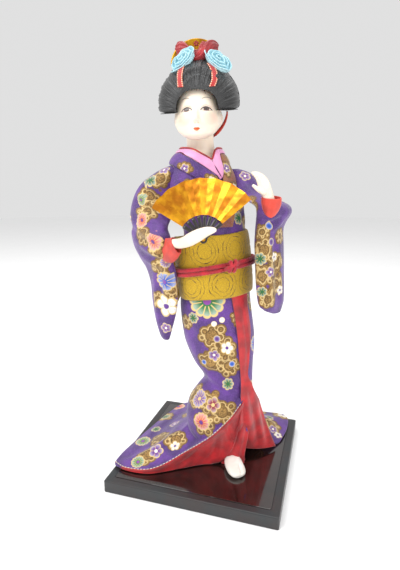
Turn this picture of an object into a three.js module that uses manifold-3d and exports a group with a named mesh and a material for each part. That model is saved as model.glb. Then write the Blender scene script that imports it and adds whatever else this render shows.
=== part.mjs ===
// A Japanese geisha doll on a lacquered stand, in millimetres, +Z up.
// The origin is the centre of the stand's underside, and the stand's front is -Y.
import * as THREE from "three";
import { mergeVertices } from "three/addons/utils/BufferGeometryUtils.js";
import Module from "manifold-3d";

const wasm = await Module();
wasm.setup();

// Driving dimensions
const STAND = { side: 125, height: 9.2, bevel: 0.8 };
const GAP = 0.3;
const FLOOR = STAND.height + GAP;
const CLOTH = 1.2;
const TORSO_TURN = 40;
const NECK = new THREE.Vector3(-9.6, 1, 0);
const HEAD = { x: -9.3, y: -3.5, z: 263, turn: 12, roll: 2.5 };
const FAN = { x: 5.5, y: -41, z: 182, turn: 12, lean: 14, radius: 39, inner: 15.6, from: 41, to: 149 };

// Colours, as roughness and metalness go with them
const finish = (color, roughness = 0.6, metalness = 0) =>
  new THREE.MeshStandardMaterial({ color, roughness, metalness });
const LACQUER = finish(0x17110f, 0.15);
const BROCADE = finish(0x5d2a86, 0.55);
const RED_SILK = finish(0xb3141d, 0.45);
const GOLD_BROCADE = finish(0xc79a12, 0.5);
const RED_CORD = finish(0xc8142a, 0.7);
const PINK_SILK = finish(0xe9a9cf, 0.5);
const SKIN = finish(0xeadfd2, 0.4);
const HAIR = finish(0x0e0d0d, 0.4);
const GOLD_PAPER = finish(0xd09a14, 0.3, 0.6);
const BLACK_WOOD = finish(0x141210, 0.35);
const BLUE_SATIN = finish(0xa9dbe2, 0.35);
const WHITE_COTTON = finish(0xf0ece4, 0.85);

const radians = THREE.MathUtils.degToRad;
const vec = (x, y, z) => new THREE.Vector3(x, y, z);

// A value at position t along rows of numbers, on a smooth curve through them
function along(rows, t) {
  const last = rows.length - 1;
  const i = Math.min(Math.floor(t), last - 1);
  const f = t - i;
  const [p, q, r, s] = [i - 1, i, i + 1, i + 2].map((k) => rows[Math.min(Math.max(k, 0), last)]);
  return q.map((v, k) => {
    const a = 2 * v;
    const b = r[k] - p[k];
    const c = 2 * p[k] - 5 * v + 4 * r[k] - s[k];
    const d = 3 * v - p[k] - 3 * r[k] + s[k];
    return 0.5 * (a + (b + (c + d * f) * f) * f);
  });
}

// Rows resampled to steps between each two neighbours
function resampled(rows, steps) {
  const count = (rows.length - 1) * steps;
  return Array.from({ length: count + 1 }, (_, i) => along(rows, i / steps));
}

// One closed loop of points: a rounded oval in a plane of constant height
function oval([z, x, y, a, b, turn = 0, power = 2], sides, grow = 0) {
  const t = radians(turn);
  return Array.from({ length: sides }, (_, k) => {
    const w = (k / sides) * 2 * Math.PI;
    const round = (v) => Math.sign(v) * Math.abs(v) ** (2 / power);
    const u = (a + grow) * round(Math.cos(w));
    const v = (b + grow) * round(Math.sin(w));
    return vec(x + u * Math.cos(t) - v * Math.sin(t), y + u * Math.sin(t) + v * Math.cos(t), z);
  });
}

// A closed skin over loops of equal length, with a fan of faces over each end
function skin(loops) {
  const n = loops[0].length;
  const points = loops.flat();
  const faces = [];
  for (let i = 0; i + 1 < loops.length; i++)
    for (let k = 0; k < n; k++) {
      const m = (k + 1) % n;
      const [a, b, c, d] = [i * n + k, i * n + m, (i + 1) * n + m, (i + 1) * n + k];
      faces.push(a, b, c, a, c, d);
    }
  for (const [loop, start, flip] of [
    [loops[0], 0, true],
    [loops.at(-1), (loops.length - 1) * n, false],
  ]) {
    const middle = loop.reduce((s, p) => s.add(p), vec(0, 0, 0)).divideScalar(n);
    const hub = points.push(middle) - 1;
    for (let k = 0; k < n; k++) {
      const m = (k + 1) % n;
      faces.push(hub, start + (flip ? m : k), start + (flip ? k : m));
    }
  }
  return indexed(points, faces);
}

function indexed(points, faces) {
  const g = new THREE.BufferGeometry();
  g.setAttribute("position", new THREE.Float32BufferAttribute(points.flatMap((p) => p.toArray()), 3));
  g.setIndex(faces);
  return g;
}

// A slab of cloth over a grid of points, with its front and back at two distances along the normals
function slab(grid, front, back) {
  const rows = grid.length;
  const cols = grid[0].length;
  const at = (i, j) => grid[Math.min(Math.max(i, 0), rows - 1)][Math.min(Math.max(j, 0), cols - 1)];
  const normal = (i, j) =>
    at(i, j + 1).clone().sub(at(i, j - 1)).cross(at(i + 1, j).clone().sub(at(i - 1, j))).normalize();
  const side = (d) => grid.map((row, i) => row.map((p, j) => p.clone().addScaledVector(normal(i, j), d)));
  const points = [...side(front).flat(), ...side(back).flat()];
  const half = rows * cols;
  const faces = [];
  for (let i = 0; i + 1 < rows; i++)
    for (let j = 0; j + 1 < cols; j++) {
      const a = i * cols + j;
      const quad = [a, a + 1, a + cols + 1, a + cols];
      faces.push(quad[0], quad[1], quad[2], quad[0], quad[2], quad[3]);
      const [e, f, g, h] = quad.map((v) => v + half);
      faces.push(e, g, f, e, h, g);
    }
  const rim = [];
  for (let j = 0; j < cols; j++) rim.push(j);
  for (let i = 1; i < rows; i++) rim.push(i * cols + cols - 1);
  for (let j = cols - 2; j >= 0; j--) rim.push((rows - 1) * cols + j);
  for (let i = rows - 2; i > 0; i--) rim.push(i * cols);
  rim.forEach((a, k) => {
    const b = rim[(k + 1) % rim.length];
    faces.push(a, a + half, b + half, a, b + half, b);
  });
  return indexed(points, faces);
}

// A grid with its border moved outwards by a distance
function widened(grid, d) {
  if (!d) return grid;
  const away = (p, q) => p.clone().addScaledVector(p.clone().sub(q).normalize(), d);
  const wide = grid.map((row) => [away(row[0], row[1]), ...row.slice(1, -1), away(row.at(-1), row.at(-2))]);
  const first = wide[0].map((p, k) => away(p, wide[1][k]));
  const last = wide.at(-1).map((p, k) => away(p, wide.at(-2)[k]));
  return [first, ...wide.slice(1, -1), last];
}

// A geometry as a solid that can be joined and cut
function solid(geometry) {
  const g = geometry.index ? geometry.clone() : geometry;
  g.deleteAttribute("normal");
  g.deleteAttribute("uv");
  const merged = mergeVertices(g, 1e-4);
  const made = new wasm.Manifold(
    new wasm.Mesh({
      numProp: 3,
      vertProperties: new Float32Array(merged.attributes.position.array),
      triVerts: new Uint32Array(merged.index.array),
    }),
  );
  return made;
}

// The same with its faces turned over where they look inwards
function orientated(geometry) {
  const made = solid(geometry);
  if (made.volume() > 0) return made;
  const flipped = geometry.clone();
  const index = Array.from(flipped.index.array);
  for (let i = 0; i < index.length; i += 3) [index[i + 1], index[i + 2]] = [index[i + 2], index[i + 1]];
  flipped.setIndex(index);
  return solid(flipped);
}

// The largest body of a solid as geometry again
function shape(made) {
  const body = made.decompose().sort((a, b) => b.volume() - a.volume())[0];
  const m = body.getMesh();
  const g = new THREE.BufferGeometry();
  g.setAttribute("position", new THREE.Float32BufferAttribute(m.vertProperties, 3));
  g.setIndex(Array.from(m.triVerts));
  return g;
}

function piece(name, material, made) {
  const geometry = made.isBufferGeometry ? made : shape(made);
  geometry.computeVertexNormals();
  const mesh = new THREE.Mesh(geometry, material);
  mesh.name = name;
  return mesh;
}

// A solid lofted through oval sections [z, x, y, a, b, turn, power]
function lofted(rows, { steps = 1, sides = 24, grow = 0 } = {}) {
  const full = rows.map((row) => [...row, 0, 2].slice(0, 7));
  full.forEach((row, i) => (row[6] = rows[i][6] ?? 2));
  const loops = resampled(full, steps).map((row) => oval(row, sides, grow));
  if (grow) {
    loops[0].forEach((p) => (p.z -= grow));
    loops.at(-1).forEach((p) => (p.z += grow));
  }
  return solid(skin(loops));
}

// A limb or cord: ovals square to a path of [x, y, z, width, thickness], the width lying nearest to side
function swept(rows, { steps = 2, sides = 10, side = vec(0, 0, 1), grow = 0 } = {}) {
  const stations = resampled(rows, steps);
  const loops = stations.map((row, i) => {
    const here = vec(row[0], row[1], row[2]);
    const before = stations[Math.max(i - 1, 0)];
    const after = stations[Math.min(i + 1, stations.length - 1)];
    const forward = vec(after[0] - before[0], after[1] - before[1], after[2] - before[2]).normalize();
    const across = side.clone().addScaledVector(forward, -side.dot(forward)).normalize();
    const up = forward.clone().cross(across);
    const end = i === 0 ? -grow : i === stations.length - 1 ? grow : 0;
    return Array.from({ length: sides }, (_, k) => {
      const w = (k / sides) * 2 * Math.PI;
      return here
        .clone()
        .addScaledVector(across, (row[3] + grow) * Math.cos(w))
        .addScaledVector(up, (row[4] + grow) * Math.sin(w))
        .addScaledVector(forward, end);
    });
  });
  return solid(skin(loops));
}

const moved = (made, matrix) => made.transform(matrix.toArray());
const headFrame = new THREE.Matrix4()
  .makeTranslation(HEAD.x, HEAD.y, HEAD.z)
  .multiply(new THREE.Matrix4().makeRotationZ(radians(HEAD.turn)))
  .multiply(new THREE.Matrix4().makeRotationY(radians(-HEAD.roll)));
const less = (made, ...rooms) => rooms.reduce((left, room) => left.subtract(room), made);

// The y of the front of a loft at a place x and height z, moved forward by grow
function frontOf(rows, x, z, grow = 0) {
  let i = 0;
  while (i < rows.length - 2 && rows[i + 1][0] < z) i++;
  const f = (z - rows[i][0]) / (rows[i + 1][0] - rows[i][0]);
  const [, cx, cy, a, b, turn] = along(rows, i + Math.min(Math.max(f, 0), 1));
  const c = Math.cos(radians(turn));
  const s = Math.sin(radians(turn));
  const dx = x - cx;
  const [p, q] = [(a + grow) ** 2, (b + grow) ** 2];
  const A = (s * s) / p + (c * c) / q;
  const B = 2 * dx * c * s * (1 / p - 1 / q);
  const C = (dx * dx * c * c) / p + (dx * dx * s * s) / q - 1;
  return cy + (-B - Math.sqrt(Math.max(B * B - 4 * A * C, 0))) / (2 * A);
}

// The distance from an upright axis to the side of a loft, in a direction and at a height
function reach(rows, axis, degrees, z) {
  let i = 0;
  while (i < rows.length - 2 && rows[i + 1][0] < z) i++;
  const f = (z - rows[i][0]) / (rows[i + 1][0] - rows[i][0]);
  const [, cx, cy, a, b, turn] = along(rows, i + Math.min(Math.max(f, 0), 1));
  const t = radians(turn);
  const w = radians(degrees);
  const [ox, oy] = [axis.x - cx, axis.y - cy];
  const [px, py] = [ox * Math.cos(t) + oy * Math.sin(t), oy * Math.cos(t) - ox * Math.sin(t)];
  const [dx, dy] = [Math.cos(w - t), Math.sin(w - t)];
  const A = (dx / a) ** 2 + (dy / b) ** 2;
  const B = (px * dx) / a ** 2 + (py * dy) / b ** 2;
  const C = (px / a) ** 2 + (py / b) ** 2 - 1;
  return (-B + Math.sqrt(Math.max(B * B - A * C, 0))) / A;
}

// Stand
function stand() {
  const { side, height, bevel } = STAND;
  const at = (inset, z) =>
    [[-1, -1], [1, -1], [1, 1], [-1, 1]].map(([x, y]) => vec(x, y, 0).multiplyScalar(side / 2 - inset).setZ(z));
  return skin([at(0, 0), at(0, height - bevel), at(bevel, height)]);
}

// Skirt: the wrapped column below the sash, rows [z, x, y, a, b, turn]
const COLUMN = [
  [26, 7, -5, 17, 15, 0],
  [29, 8, -6.5, 22, 19.5, 0],
  [34, 8.5, -7, 24.2, 21, 0],
  [43, 8, -7, 25.2, 21.5, 0],
  [56, 9, -6, 24.3, 20.5, 0],
  [66, 12, -4.5, 21.2, 18.6, 2],
  [75, 14.3, -3, 18.2, 17, 8],
  [86, 10.3, -2, 22, 18, 14],
  [97, 7.8, -1, 25, 19, 18],
  [107, 6, 0, 26.6, 19.5, 22],
  [128, 3.2, 0.5, 26.6, 19.2, 28],
  [141, 2.8, 0.8, 25.8, 18.4, 34],
  [156, 2, 1, 23, 17, 38],
];

// The hem on the stand, counterclockwise from the right: foot of the wall, then its top edge
const HEM = [
  [48, 15.5, 50, 16.5, 12],
  [53, 25, 53.6, 25, 12],
  [55.4, 41, 56.2, 41, 12.5],
  [54.5, 54, 55.6, 54.5, 13.5],
  [49, 60, 50, 61, 13.5],
  [38, 61, 38, 61.8, 13],
  [19, 61, 19, 61.6, 12.5],
  [-2, 61, -2, 61.6, 12.5],
  [-24, 60.5, -24, 61, 12.5],
  [-40, 57, -40.6, 57.4, 12.5],
  [-48.6, 38, -49.4, 38, 12.5],
  [-55.4, 8, -56.2, 8, 12.5],
  [-60, -19, -60.8, -19, 12.2],
  [-61.8, -42.6, -62.3, -43, 11.6],
  [-52.5, -46.4, -52.2, -47, 11.8],
  [-37, -46, -36, -46, 12.6],
  [-25.3, -39.6, -25, -42, 16],
  [-13, -31, -11, -35, 23.5],
  [-2.5, -23.6, 1, -28, 28],
  [9, -18.5, 10, -23, 30],
  [17, -15, 17, -18, 30],
  [24, -9, 24, -11, 30],
  [29, 1, 29, 0, 28],
  [39, 8.5, 39, 8, 20],
];
const TRAIN = { x: 8, y: 4, height: 44, hollow: 1.7, rings: 4, inner: 0.22 };

// The train: rings from the hem's foot over its edge and up towards the column
function train() {
  const foot = HEM.map(([x, y]) => vec(x, y, FLOOR));
  const ring = (share) =>
    HEM.map(([, , x, y, z]) => {
      const rise = TRAIN.height * (1 - share) ** TRAIN.hollow;
      const level = z * share + FLOOR * (1 - share);
      return vec(TRAIN.x + (x - TRAIN.x) * share, TRAIN.y + (y - TRAIN.y) * share, level + rise);
    });
  const loops = [foot];
  for (let i = 0; i < TRAIN.rings; i++) loops.push(ring(1 - ((1 - TRAIN.inner) * i) / (TRAIN.rings - 1)));
  return solid(skin(loops));
}

// The lining that shows below the lifted front edge, from the left tip to the knee: foot and edge points
const LINING = [
  [-62, -43.6, 10.2, -62.4, -43.8, 12.4],
  [-53, -47.6, 10.2, -52.4, -48.2, 12.6],
  [-37, -47.4, 10.2, -36, -47.6, 13.6],
  [-25.3, -41.6, 10.2, -24.6, -43.6, 17],
  [-12.8, -33.2, 10.2, -9.8, -35, 25],
  [-2.1, -26.2, 10.2, 2, -31.5, 33],
  [6, -22.2, 10.2, 10, -30.4, 40],
  [13.6, -19.5, 12, 17, -28.6, 47.5],
  [19.5, -19.4, 19, 22.4, -26.6, 54],
  [23.5, -19.8, 28, 26, -24.6, 59.5],
  [27, -20.4, 42, 29.6, -21.6, 65],
];

function hemLining(front, back, spread = 0) {
  const across = 3;
  const grid = LINING.map((row) => {
    const foot = vec(row[0], row[1], row[2]);
    const edge = vec(row[3], row[4], row[5]);
    const sag = 0.1 * foot.distanceTo(edge);
    return Array.from({ length: across + 1 }, (_, k) => {
      const p = edge.clone().lerp(foot, k / across);
      p.y += sag * Math.sin((k / across) * Math.PI);
      return p;
    });
  });
  return solid(slab(widened(grid, spread), front, back));
}

// The turned-back band from the sash to the knee and its flare to the stand: left x y z, right x y z
const BAND_TOP = [
  [142.5, 17, 26],
  [129, 19.8, 27.4],
  [111, 22.8, 30.2],
  [93, 25, 30.6],
  [80, 26.4, 30.6],
];
const BAND_FLARE = [
  [27.6, -20.8, 70, 34.2, -12, 72],
  [28.6, -21.4, 61, 38.6, -8, 61],
  [26.8, -20, 46, 41.6, -3, 48],
  [24.2, -11, 27, 45.2, 3, 32],
  [23.2, -4, 16.5, 50.4, 12, 12],
];

function frontBand(front, back, spread = 0) {
  const lift = GAP + 0.1;
  const upper = BAND_TOP.map(([z, left, right]) => {
    const at = (x) => vec(x, frontOf(COLUMN, x, z) - lift, z);
    return [at(left), at((left * 2 + right) / 3), at((left + right * 2) / 3), at(right)];
  });
  const lower = BAND_FLARE.map((row) => {
    const left = vec(row[0], row[1], row[2]);
    const right = vec(row[3], row[4], row[5]);
    const bow = 0.1 * left.distanceTo(right);
    return [0, 1 / 3, 2 / 3, 1].map((t) => {
      const p = left.clone().lerp(right, t);
      p.y -= bow * Math.sin(t * Math.PI);
      return p;
    });
  });
  const grid = [...upper, ...lower].map((row) => row.reverse());
  return solid(slab(widened(grid, spread), front, back));
}

// The inner skirt around the foot, and the room that the kimono leaves around it
const UNDERSKIRT = [
  [FLOOR + 0.3, 20.6, -13, 9.6, 7.4, 14],
  [15, 20.8, -12.6, 9, 7, 14],
  [30, 23, -11.4, 9, 7, 14],
  [46, 26.4, -10.4, 7, 6.4, 10],
];
const HOLLOW = 4;

// The split-toed sock: rows [x, y, z, half width, half height] from heel to toe
const FOOT = [
  [21, -15.5, 13.6, 5, 4],
  [22.6, -19.6, 13.8, 6.4, 4.1],
  [25, -24.4, 13.2, 6.8, 3.7],
  [27.8, -28.8, 12.4, 6.5, 2.9],
  [29.8, -31.8, 11.8, 4.8, 2.1],
  [30.6, -32.9, 11.5, 2.2, 1.2],
];

// Kimono above the waist, rows [z, x, y, a, b, turn]
const BODICE = [
  [156.6, 1.6, 1, 23, 17.2, 40],
  [174, 1.3, 1, 23, 17.4, 40],
  [185, 1.4, 0.8, 23, 17.4, 40],
  [200, -1.8, 1, 25.6, 17.8, 40],
  [211, -5, 1.2, 26.8, 17.2, 40],
  [218, -7, 1.2, 25.6, 17.2, 39],
  [224, -8.4, 1, 23, 16.8, 37],
  [230.5, -9.6, 1, 19.7, 16, 32],
];
const SHOULDERS = [
  ...BODICE,
  [235, -9.6, 0.8, 17.1, 14.8, 28],
  [238, -9.3, 1.2, 14.9, 13.4, 24],
  [241.5, -9, 1.6, 12.6, 12, 16],
];

// Sash: a band round the waist, higher on the doll's left, and the cord tied over it
const SASH = { x: 1.2, y: 1, z: 159.6, a: 28, b: 21.2, wall: 2.4, height: 43.6, lean: 6.1, power: 2.2 };
const CORD = { z: 158.6, lean: 8.8, radius: 2.7 };
const tilted = (z, lean) =>
  new THREE.Matrix4()
    .makeTranslation(SASH.x, SASH.y, z)
    .multiply(new THREE.Matrix4().makeRotationY(radians(-lean)));

function sash(grow = 0) {
  const { a, b, wall, height, power } = SASH;
  const half = height / 2 + grow;
  const level = (h, spread) => oval([h, 0, 0, a + spread, b + spread, TORSO_TURN, power], 26);
  const waves = [[-1, -0.8], [-0.5, 0.5], [0.5, 0.5], [1, -0.6]];
  const tube = solid(skin(waves.map(([h, s]) => level(h * half, s + grow))));
  const bore = solid(skin([-1, 1].map((h) => level(h * (half + 9), -wall - grow))));
  return moved(tube.subtract(bore), tilted(SASH.z, SASH.lean));
}

// The cord: a closed loop round the sash with a knot on its front
function cordLoop(grow = 0) {
  const { a, b, power } = SASH;
  const radius = CORD.radius + grow;
  const [sides, steps] = [6, 22];
  const t = radians(TORSO_TURN);
  const points = Array.from({ length: steps * sides }, (_, n) => {
    const w = (Math.floor(n / sides) / steps) * 2 * Math.PI;
    const s = ((n % sides) / sides) * 2 * Math.PI;
    const round = (v) => Math.sign(v) * Math.abs(v) ** (2 / power);
    const out = CORD.radius * 0.8 + GAP + 1 + radius * 0.8 * Math.cos(s);
    const u = (a + out) * round(Math.cos(w));
    const v = (b + out) * round(Math.sin(w));
    return vec(u * Math.cos(t) - v * Math.sin(t), u * Math.sin(t) + v * Math.cos(t), radius * Math.sin(s));
  });
  const faces = [];
  for (let i = 0; i < steps; i++)
    for (let k = 0; k < sides; k++) {
      const j = (i + 1) % steps;
      const m = (k + 1) % sides;
      const [p, q, r, o] = [i * sides + k, j * sides + k, j * sides + m, i * sides + m];
      faces.push(p, q, r, p, r, o);
    }
  return moved(solid(indexed(points, faces)), tilted(CORD.z, CORD.lean));
}

const CORD_KNOT = [
  [16.4, -23, 161.4, 2.2, 2],
  [18.8, -22.8, 162.4, 3.8, 2.8],
  [22, -21.2, 163, 3.6, 2.8],
  [24.4, -19, 163.2, 2.2, 2],
];

// Bow at the back of the sash: two loops and a knot, in a frame facing the doll's back
const BOW = { out: 23.4, z: 161, thick: 8, sides: 10 };
// Each loop from the knot outwards: rows [distance, half height, half thickness, height]
const BOW_RIGHT = [
  [3.4, 12, 3.6, 6],
  [8, 15, 4.6, 1],
  [15, 18.5, 5, -9],
  [22, 21, 4.6, -20],
  [28, 21, 3, -28],
  [29.6, 17, 1.2, -31],
];
const BOW_LEFT = [
  [3.4, 12, 3.6, 6],
  [8, 14, 4.6, 5],
  [15, 16, 5, 2],
  [22, 17, 4.6, -1],
  [28, 16, 3, -3],
  [29.6, 12, 1.2, -4],
];
const backFrame = new THREE.Matrix4()
  .makeTranslation(SASH.x, SASH.y, BOW.z)
  .multiply(new THREE.Matrix4().makeRotationZ(radians(TORSO_TURN)));

function bowLoop(rows, sideSign) {
  const { out, thick, sides } = BOW;
  const loops = rows.map(([u, tall, deep, height]) =>
    Array.from({ length: sides }, (_, k) => {
      const w = (k / sides) * 2 * Math.PI;
      const round = (v) => Math.sign(v) * Math.abs(v) ** 0.8;
      const [back, up] = [deep * round(Math.sin(w)), tall * round(Math.cos(w))];
      return vec(sideSign * u, out + thick / 2 + back, height + up);
    }),
  );
  return moved(orientated(skin(loops)), backFrame);
}

function bowKnot(grow = 0) {
  const { out, thick } = BOW;
  const rows = [
    [-10, 0, out + thick / 2, 4, 3.8, 0, 3],
    [-3, 0, out + thick / 2, 3, 5, 0, 3],
    [12, 0, out + thick / 2, 3, 5, 0, 3],
    [18, 0, out + thick / 2, 4.4, 3.6, 0, 3],
  ];
  return moved(lofted(rows, { sides: 10, grow }), backFrame);
}

// Sleeves, rows [z, x, y, a, b, turn]
const SLEEVE_RIGHT = [
  [103.2, -31, -15, 2.4, 2.2, -25],
  [107, -31.2, -16, 4.4, 3.4, -25],
  [118, -31.2, -17, 8.2, 4.6, -25],
  [132, -30.6, -18, 12, 5.6, -28],
  [146, -30.4, -19.5, 13, 6.2, -30],
  [157, -32, -20.5, 13.2, 7, -34, 2.8],
  [165, -35.2, -21.5, 15.8, 7.6, -36, 2.8],
  [173, -37.9, -22, 18.6, 8, -37, 2.8],
  [181, -38.9, -21.6, 20, 8.4, -37, 2.8],
  [187, -40.7, -18.6, 18.7, 8.8, -34],
  [193, -41.6, -14.6, 17, 10.4, -18],
  [209, -38.5, -10, 15.3, 11.2, 16],
  [217, -34.5, -9.6, 13.5, 11, 28],
  [223, -30, -9, 10, 9.8, 34],
  [226.6, -27, -8, 7, 7.6, 36],
  [229, -24.9, -7, 3.4, 4.6, 38],
];
const SLEEVE_LEFT = [
  [126, 47.4, 3, 5.4, 2.6, 70],
  [130, 45.2, 2, 12, 5, 70],
  [138, 43.8, 1, 15.6, 6.8, 70],
  [172, 41.6, 0.6, 15.8, 7.6, 70],
  [184, 41, 1, 15.2, 7.6, 70],
  [190, 41.8, 1.6, 15.2, 8.2, 68],
  [197, 43.6, 2.6, 15.4, 10.2, 64],
  [201.6, 42, 4, 14.8, 10, 60],
  [205.6, 35, 6, 13.8, 9.8, 54],
  [210, 27.4, 9.4, 12.6, 9.6, 46],
  [216, 22.6, 12, 11.6, 9.4, 40],
  [221, 19, 13.4, 10, 8.6, 36],
  [224.6, 15.6, 13.4, 7.4, 7, 34],
  [226.8, 12.8, 12.6, 3.4, 4.4, 32],
];

// The red sleeve ends of the robe below: rows [x, y, z, half height, half thickness]
const CUFF_RIGHT = [
  [-26, -31, 172.4, 6, 2],
  [-22.4, -33.2, 172.8, 9, 2.8],
  [-19, -34.6, 174, 8.8, 3.2],
  [-14.2, -37, 177.4, 5.6, 3.2],
];
const CUFF_LEFT = [
  [42.4, -10.4, 194.6, 2.4, 2.4],
  [42.8, -10.6, 199, 5.2, 3.6],
  [43.2, -11.4, 203.6, 6.6, 4.2],
  [43.4, -12.4, 207, 6.2, 4],
];

// Hands: rows [x, y, z, half width, half thickness]
const HAND_RIGHT = [
  [-17, -36.4, 178.2, 2.9, 2.3],
  [-10, -40, 179, 3.4, 2.4],
  [-3, -43.4, 181.6, 3.9, 2.2],
  [3.4, -45.6, 185, 3.9, 2],
  [9, -46.8, 187.6, 3, 1.8],
  [13.6, -47.2, 188.7, 1.9, 1.3],
  [15.6, -47.2, 188.7, 0.8, 0.7],
];
const HAND_LEFT = [
  [43.2, -10.5, 201.5, 2.9, 2.3],
  [42, -13.4, 207.5, 3.3, 2.3],
  [39.4, -15.2, 213, 4.2, 2.3],
  [37.8, -15.8, 217.4, 3.8, 2.1],
  [35, -15.4, 221, 2.7, 1.9],
  [31.6, -14.2, 222.8, 1.6, 1.4],
  [30.2, -13.6, 223, 0.8, 0.8],
];
const THUMB_LEFT = [
  [39.6, -15.6, 210.4, 2, 1.8],
  [35.6, -17.6, 212.6, 1.7, 1.5],
  [31.6, -18.2, 215.6, 0.9, 0.9],
];

// Head: rows [z, x, y, a, b, turn, power] in the head's own frame, face towards -Y
const FACE = [
  [-18.2, 0, -12.8, 2.4, 2.4],
  [-17.4, 0, -12.4, 5.8, 4.8],
  [-15.6, 0, -11, 9.6, 8],
  [-13, 0, -9, 12.4, 11],
  [-10, 0, -6.8, 14.4, 13.8],
  [-7.4, 0, -5.2, 15.3, 15.4],
  [-4.6, 0, -3.8, 15.7, 16.6],
  [-1, 0, -2.4, 15.5, 17.4],
  [4, 0, -1.4, 15.2, 17.8],
  [9, 0, -0.8, 14.2, 17],
  [13.6, 0, -0.6, 11.8, 14.4],
  [17, 0, -0.2, 8, 9.6],
  [18.8, 0, 0, 3, 3.6],
];
const NECK_ROWS = [
  [225.5, -9.6, 1, 15, 12.6, 18],
  [231, -9.5, 1, 13.8, 12, 18],
  [235.4, -9.4, 1.6, 11.2, 10.4, 16],
  [239, -9.2, 2.2, 9.9, 9.4, 15],
  [244, -9.3, 1.2, 9.4, 9.2, 13],
  [250, -9.3, 0, 9.4, 9.4, 13],
  [255, -9.3, -1, 9, 9, 13],
];
const NOSE = { bridge: [0, -18.6, 0.5], tip: [0, -22.8, -6.6], side: [2, -19.4, -7.8], root: [0, -12, -5] };

function head(grow = 0, sides = 16) {
  const loops = FACE.map((row) => oval([...row, 0, 2.15], sides, grow));
  if (grow) [loops[0], loops.at(-1)].forEach((loop, i) => loop.forEach((p) => (p.z += i ? grow : -grow)));
  const { bridge, tip, side, root } = NOSE;
  const wedge = indexed(
    [bridge, tip, side, [-side[0], side[1], side[2]], root].map((p) => vec(...p)),
    [0, 3, 1, 0, 1, 2, 1, 3, 2, 0, 2, 4, 2, 3, 4, 3, 0, 4],
  );
  const face = solid(skin(loops)).add(orientated(wedge));
  return moved(face, headFrame).add(lofted(NECK_ROWS, { sides: 12, grow }));
}

// Hair: a wide dome over the head, open for the face, with the nape roll below it
const DOME = [
  [0.2, 0, 2.5, 23.6, 18.5, 0, 2.6],
  [1.6, 0, 2, 26.6, 21.3, 0, 2.6],
  [4.6, 0, 2, 27.2, 22.2, 0, 2.5],
  [10, 0, 1.8, 26.9, 22.4, 0, 2.4],
  [16, 0, 1.6, 24.9, 21.6, 0, 2.3],
  [21.5, 0, 1.6, 21.3, 19.6, 0, 2.2],
  [27, 0, 2, 16.6, 16.2, 0, 2.1],
  [31, 0, 2.4, 11.2, 11.4, 0, 2],
  [33.4, 0, 2.6, 4.6, 5, 0, 2],
];
const NAPE = [
  [-15.6, 0, 12.5, 4.6, 3.6],
  [-13.4, 0, 12.8, 9, 6.6],
  [-8, 0, 12.4, 11.6, 9],
  [-1, 0, 11.6, 12.4, 10.4],
  [6, 0, 10, 13, 10.4],
];
const TOPKNOT = [
  [26, 0, 12, 7, 6],
  [32, 0, 13, 10, 8.4],
  [38, 0, 13.4, 10.8, 9],
  [42, 0, 13.2, 9, 7.4],
  [45, 0, 12.8, 4.6, 4],
];
const OPENING = { half: 14.2, top: 14.2, low: -12, x: 0.3 };
const SHEAR = { rise: 0.17, from: -6 };
const hairFrame = headFrame
  .clone()
  .multiply(new THREE.Matrix4().makeTranslation(0.6, 0, -SHEAR.rise * SHEAR.from))
  .multiply(new THREE.Matrix4().set(1, 0, 0, 0, 0, 1, 0, 0, 0, SHEAR.rise, 1, 0, 0, 0, 0, 1));

const hairMass = (grow = 0) =>
  moved(lofted(DOME, { sides: 20, grow }), hairFrame)
    .add(moved(lofted(NAPE, { sides: 12, grow }), headFrame))
    .add(moved(lofted(TOPKNOT, { sides: 10, grow }), headFrame));

function hair() {
  const outline = new THREE.Shape();
  const { half, top, low, x } = OPENING;
  outline.moveTo(x + half, low);
  for (let k = 0; k <= 12; k++) {
    const w = (k / 12) * Math.PI;
    outline.lineTo(x + half * Math.cos(w), top * Math.sin(w) ** 0.9);
  }
  outline.lineTo(x - half, low);
  const prism = new THREE.ExtrudeGeometry(outline, { depth: 40, bevelEnabled: false });
  prism.rotateX(Math.PI / 2);
  prism.translate(0, -6, 0);
  return less(hairMass(), head(1.1, 12), moved(solid(prism), headFrame));
}

// Ornaments in the hair, in the head's frame
const COMB = { half: 17, tall: 15.4, thick: 1.4, y: 2, base: 31 };
const ROSE = { radius: 9.3, share: 0.58, thick: 4.6 };
const ROSES = [
  { name: "ribbon_rose_right", at: [-7.4, -8, 30.8], long: [0.75, 0.1, 0.66], out: [-0.3, -0.86, 0.45] },
  { name: "ribbon_rose_left", at: [14.8, -8.4, 28.6], long: [0.78, -0.06, -0.62], out: [0.3, -0.86, 0.42] },
];

// The comb: a half oval plate standing on the hair
function comb(grow = 0) {
  const { half, tall, thick, y, base } = COMB;
  const outline = new THREE.Shape();
  for (let k = 0; k <= 18; k++) {
    const w = (k / 18) * Math.PI;
    outline.lineTo((half + grow) * Math.cos(w), (tall + grow) * Math.sin(w) - grow);
  }
  const plate = new THREE.ExtrudeGeometry(outline, { depth: thick + 2 * grow, bevelEnabled: false });
  plate.rotateX(Math.PI / 2);
  plate.translate(0, y + grow, base);
  return moved(solid(plate), headFrame);
}

function rose({ at, long, out }, grow = 0) {
  const { radius, share, thick } = ROSE;
  const profile = [
    [0, -grow / thick],
    [0.7, -grow / thick],
    [1, 0.4],
    [0.8, 0.9],
    [0.56, 0.78],
    [0.34, 1.05],
    [0, 1.08 + grow / thick],
  ].map(([r, h]) => new THREE.Vector2(r * (radius + grow), h * thick));
  const turned = new THREE.LatheGeometry(profile, 14);
  turned.scale(1, 1, share + (grow ? 0.04 : 0));
  const up = vec(...out).normalize();
  const lie = vec(...long).addScaledVector(up, -up.dot(vec(...long))).normalize();
  const frame = new THREE.Matrix4().makeBasis(lie, up, lie.clone().cross(up)).setPosition(...at);
  return moved(moved(solid(turned), frame), headFrame);
}

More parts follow.
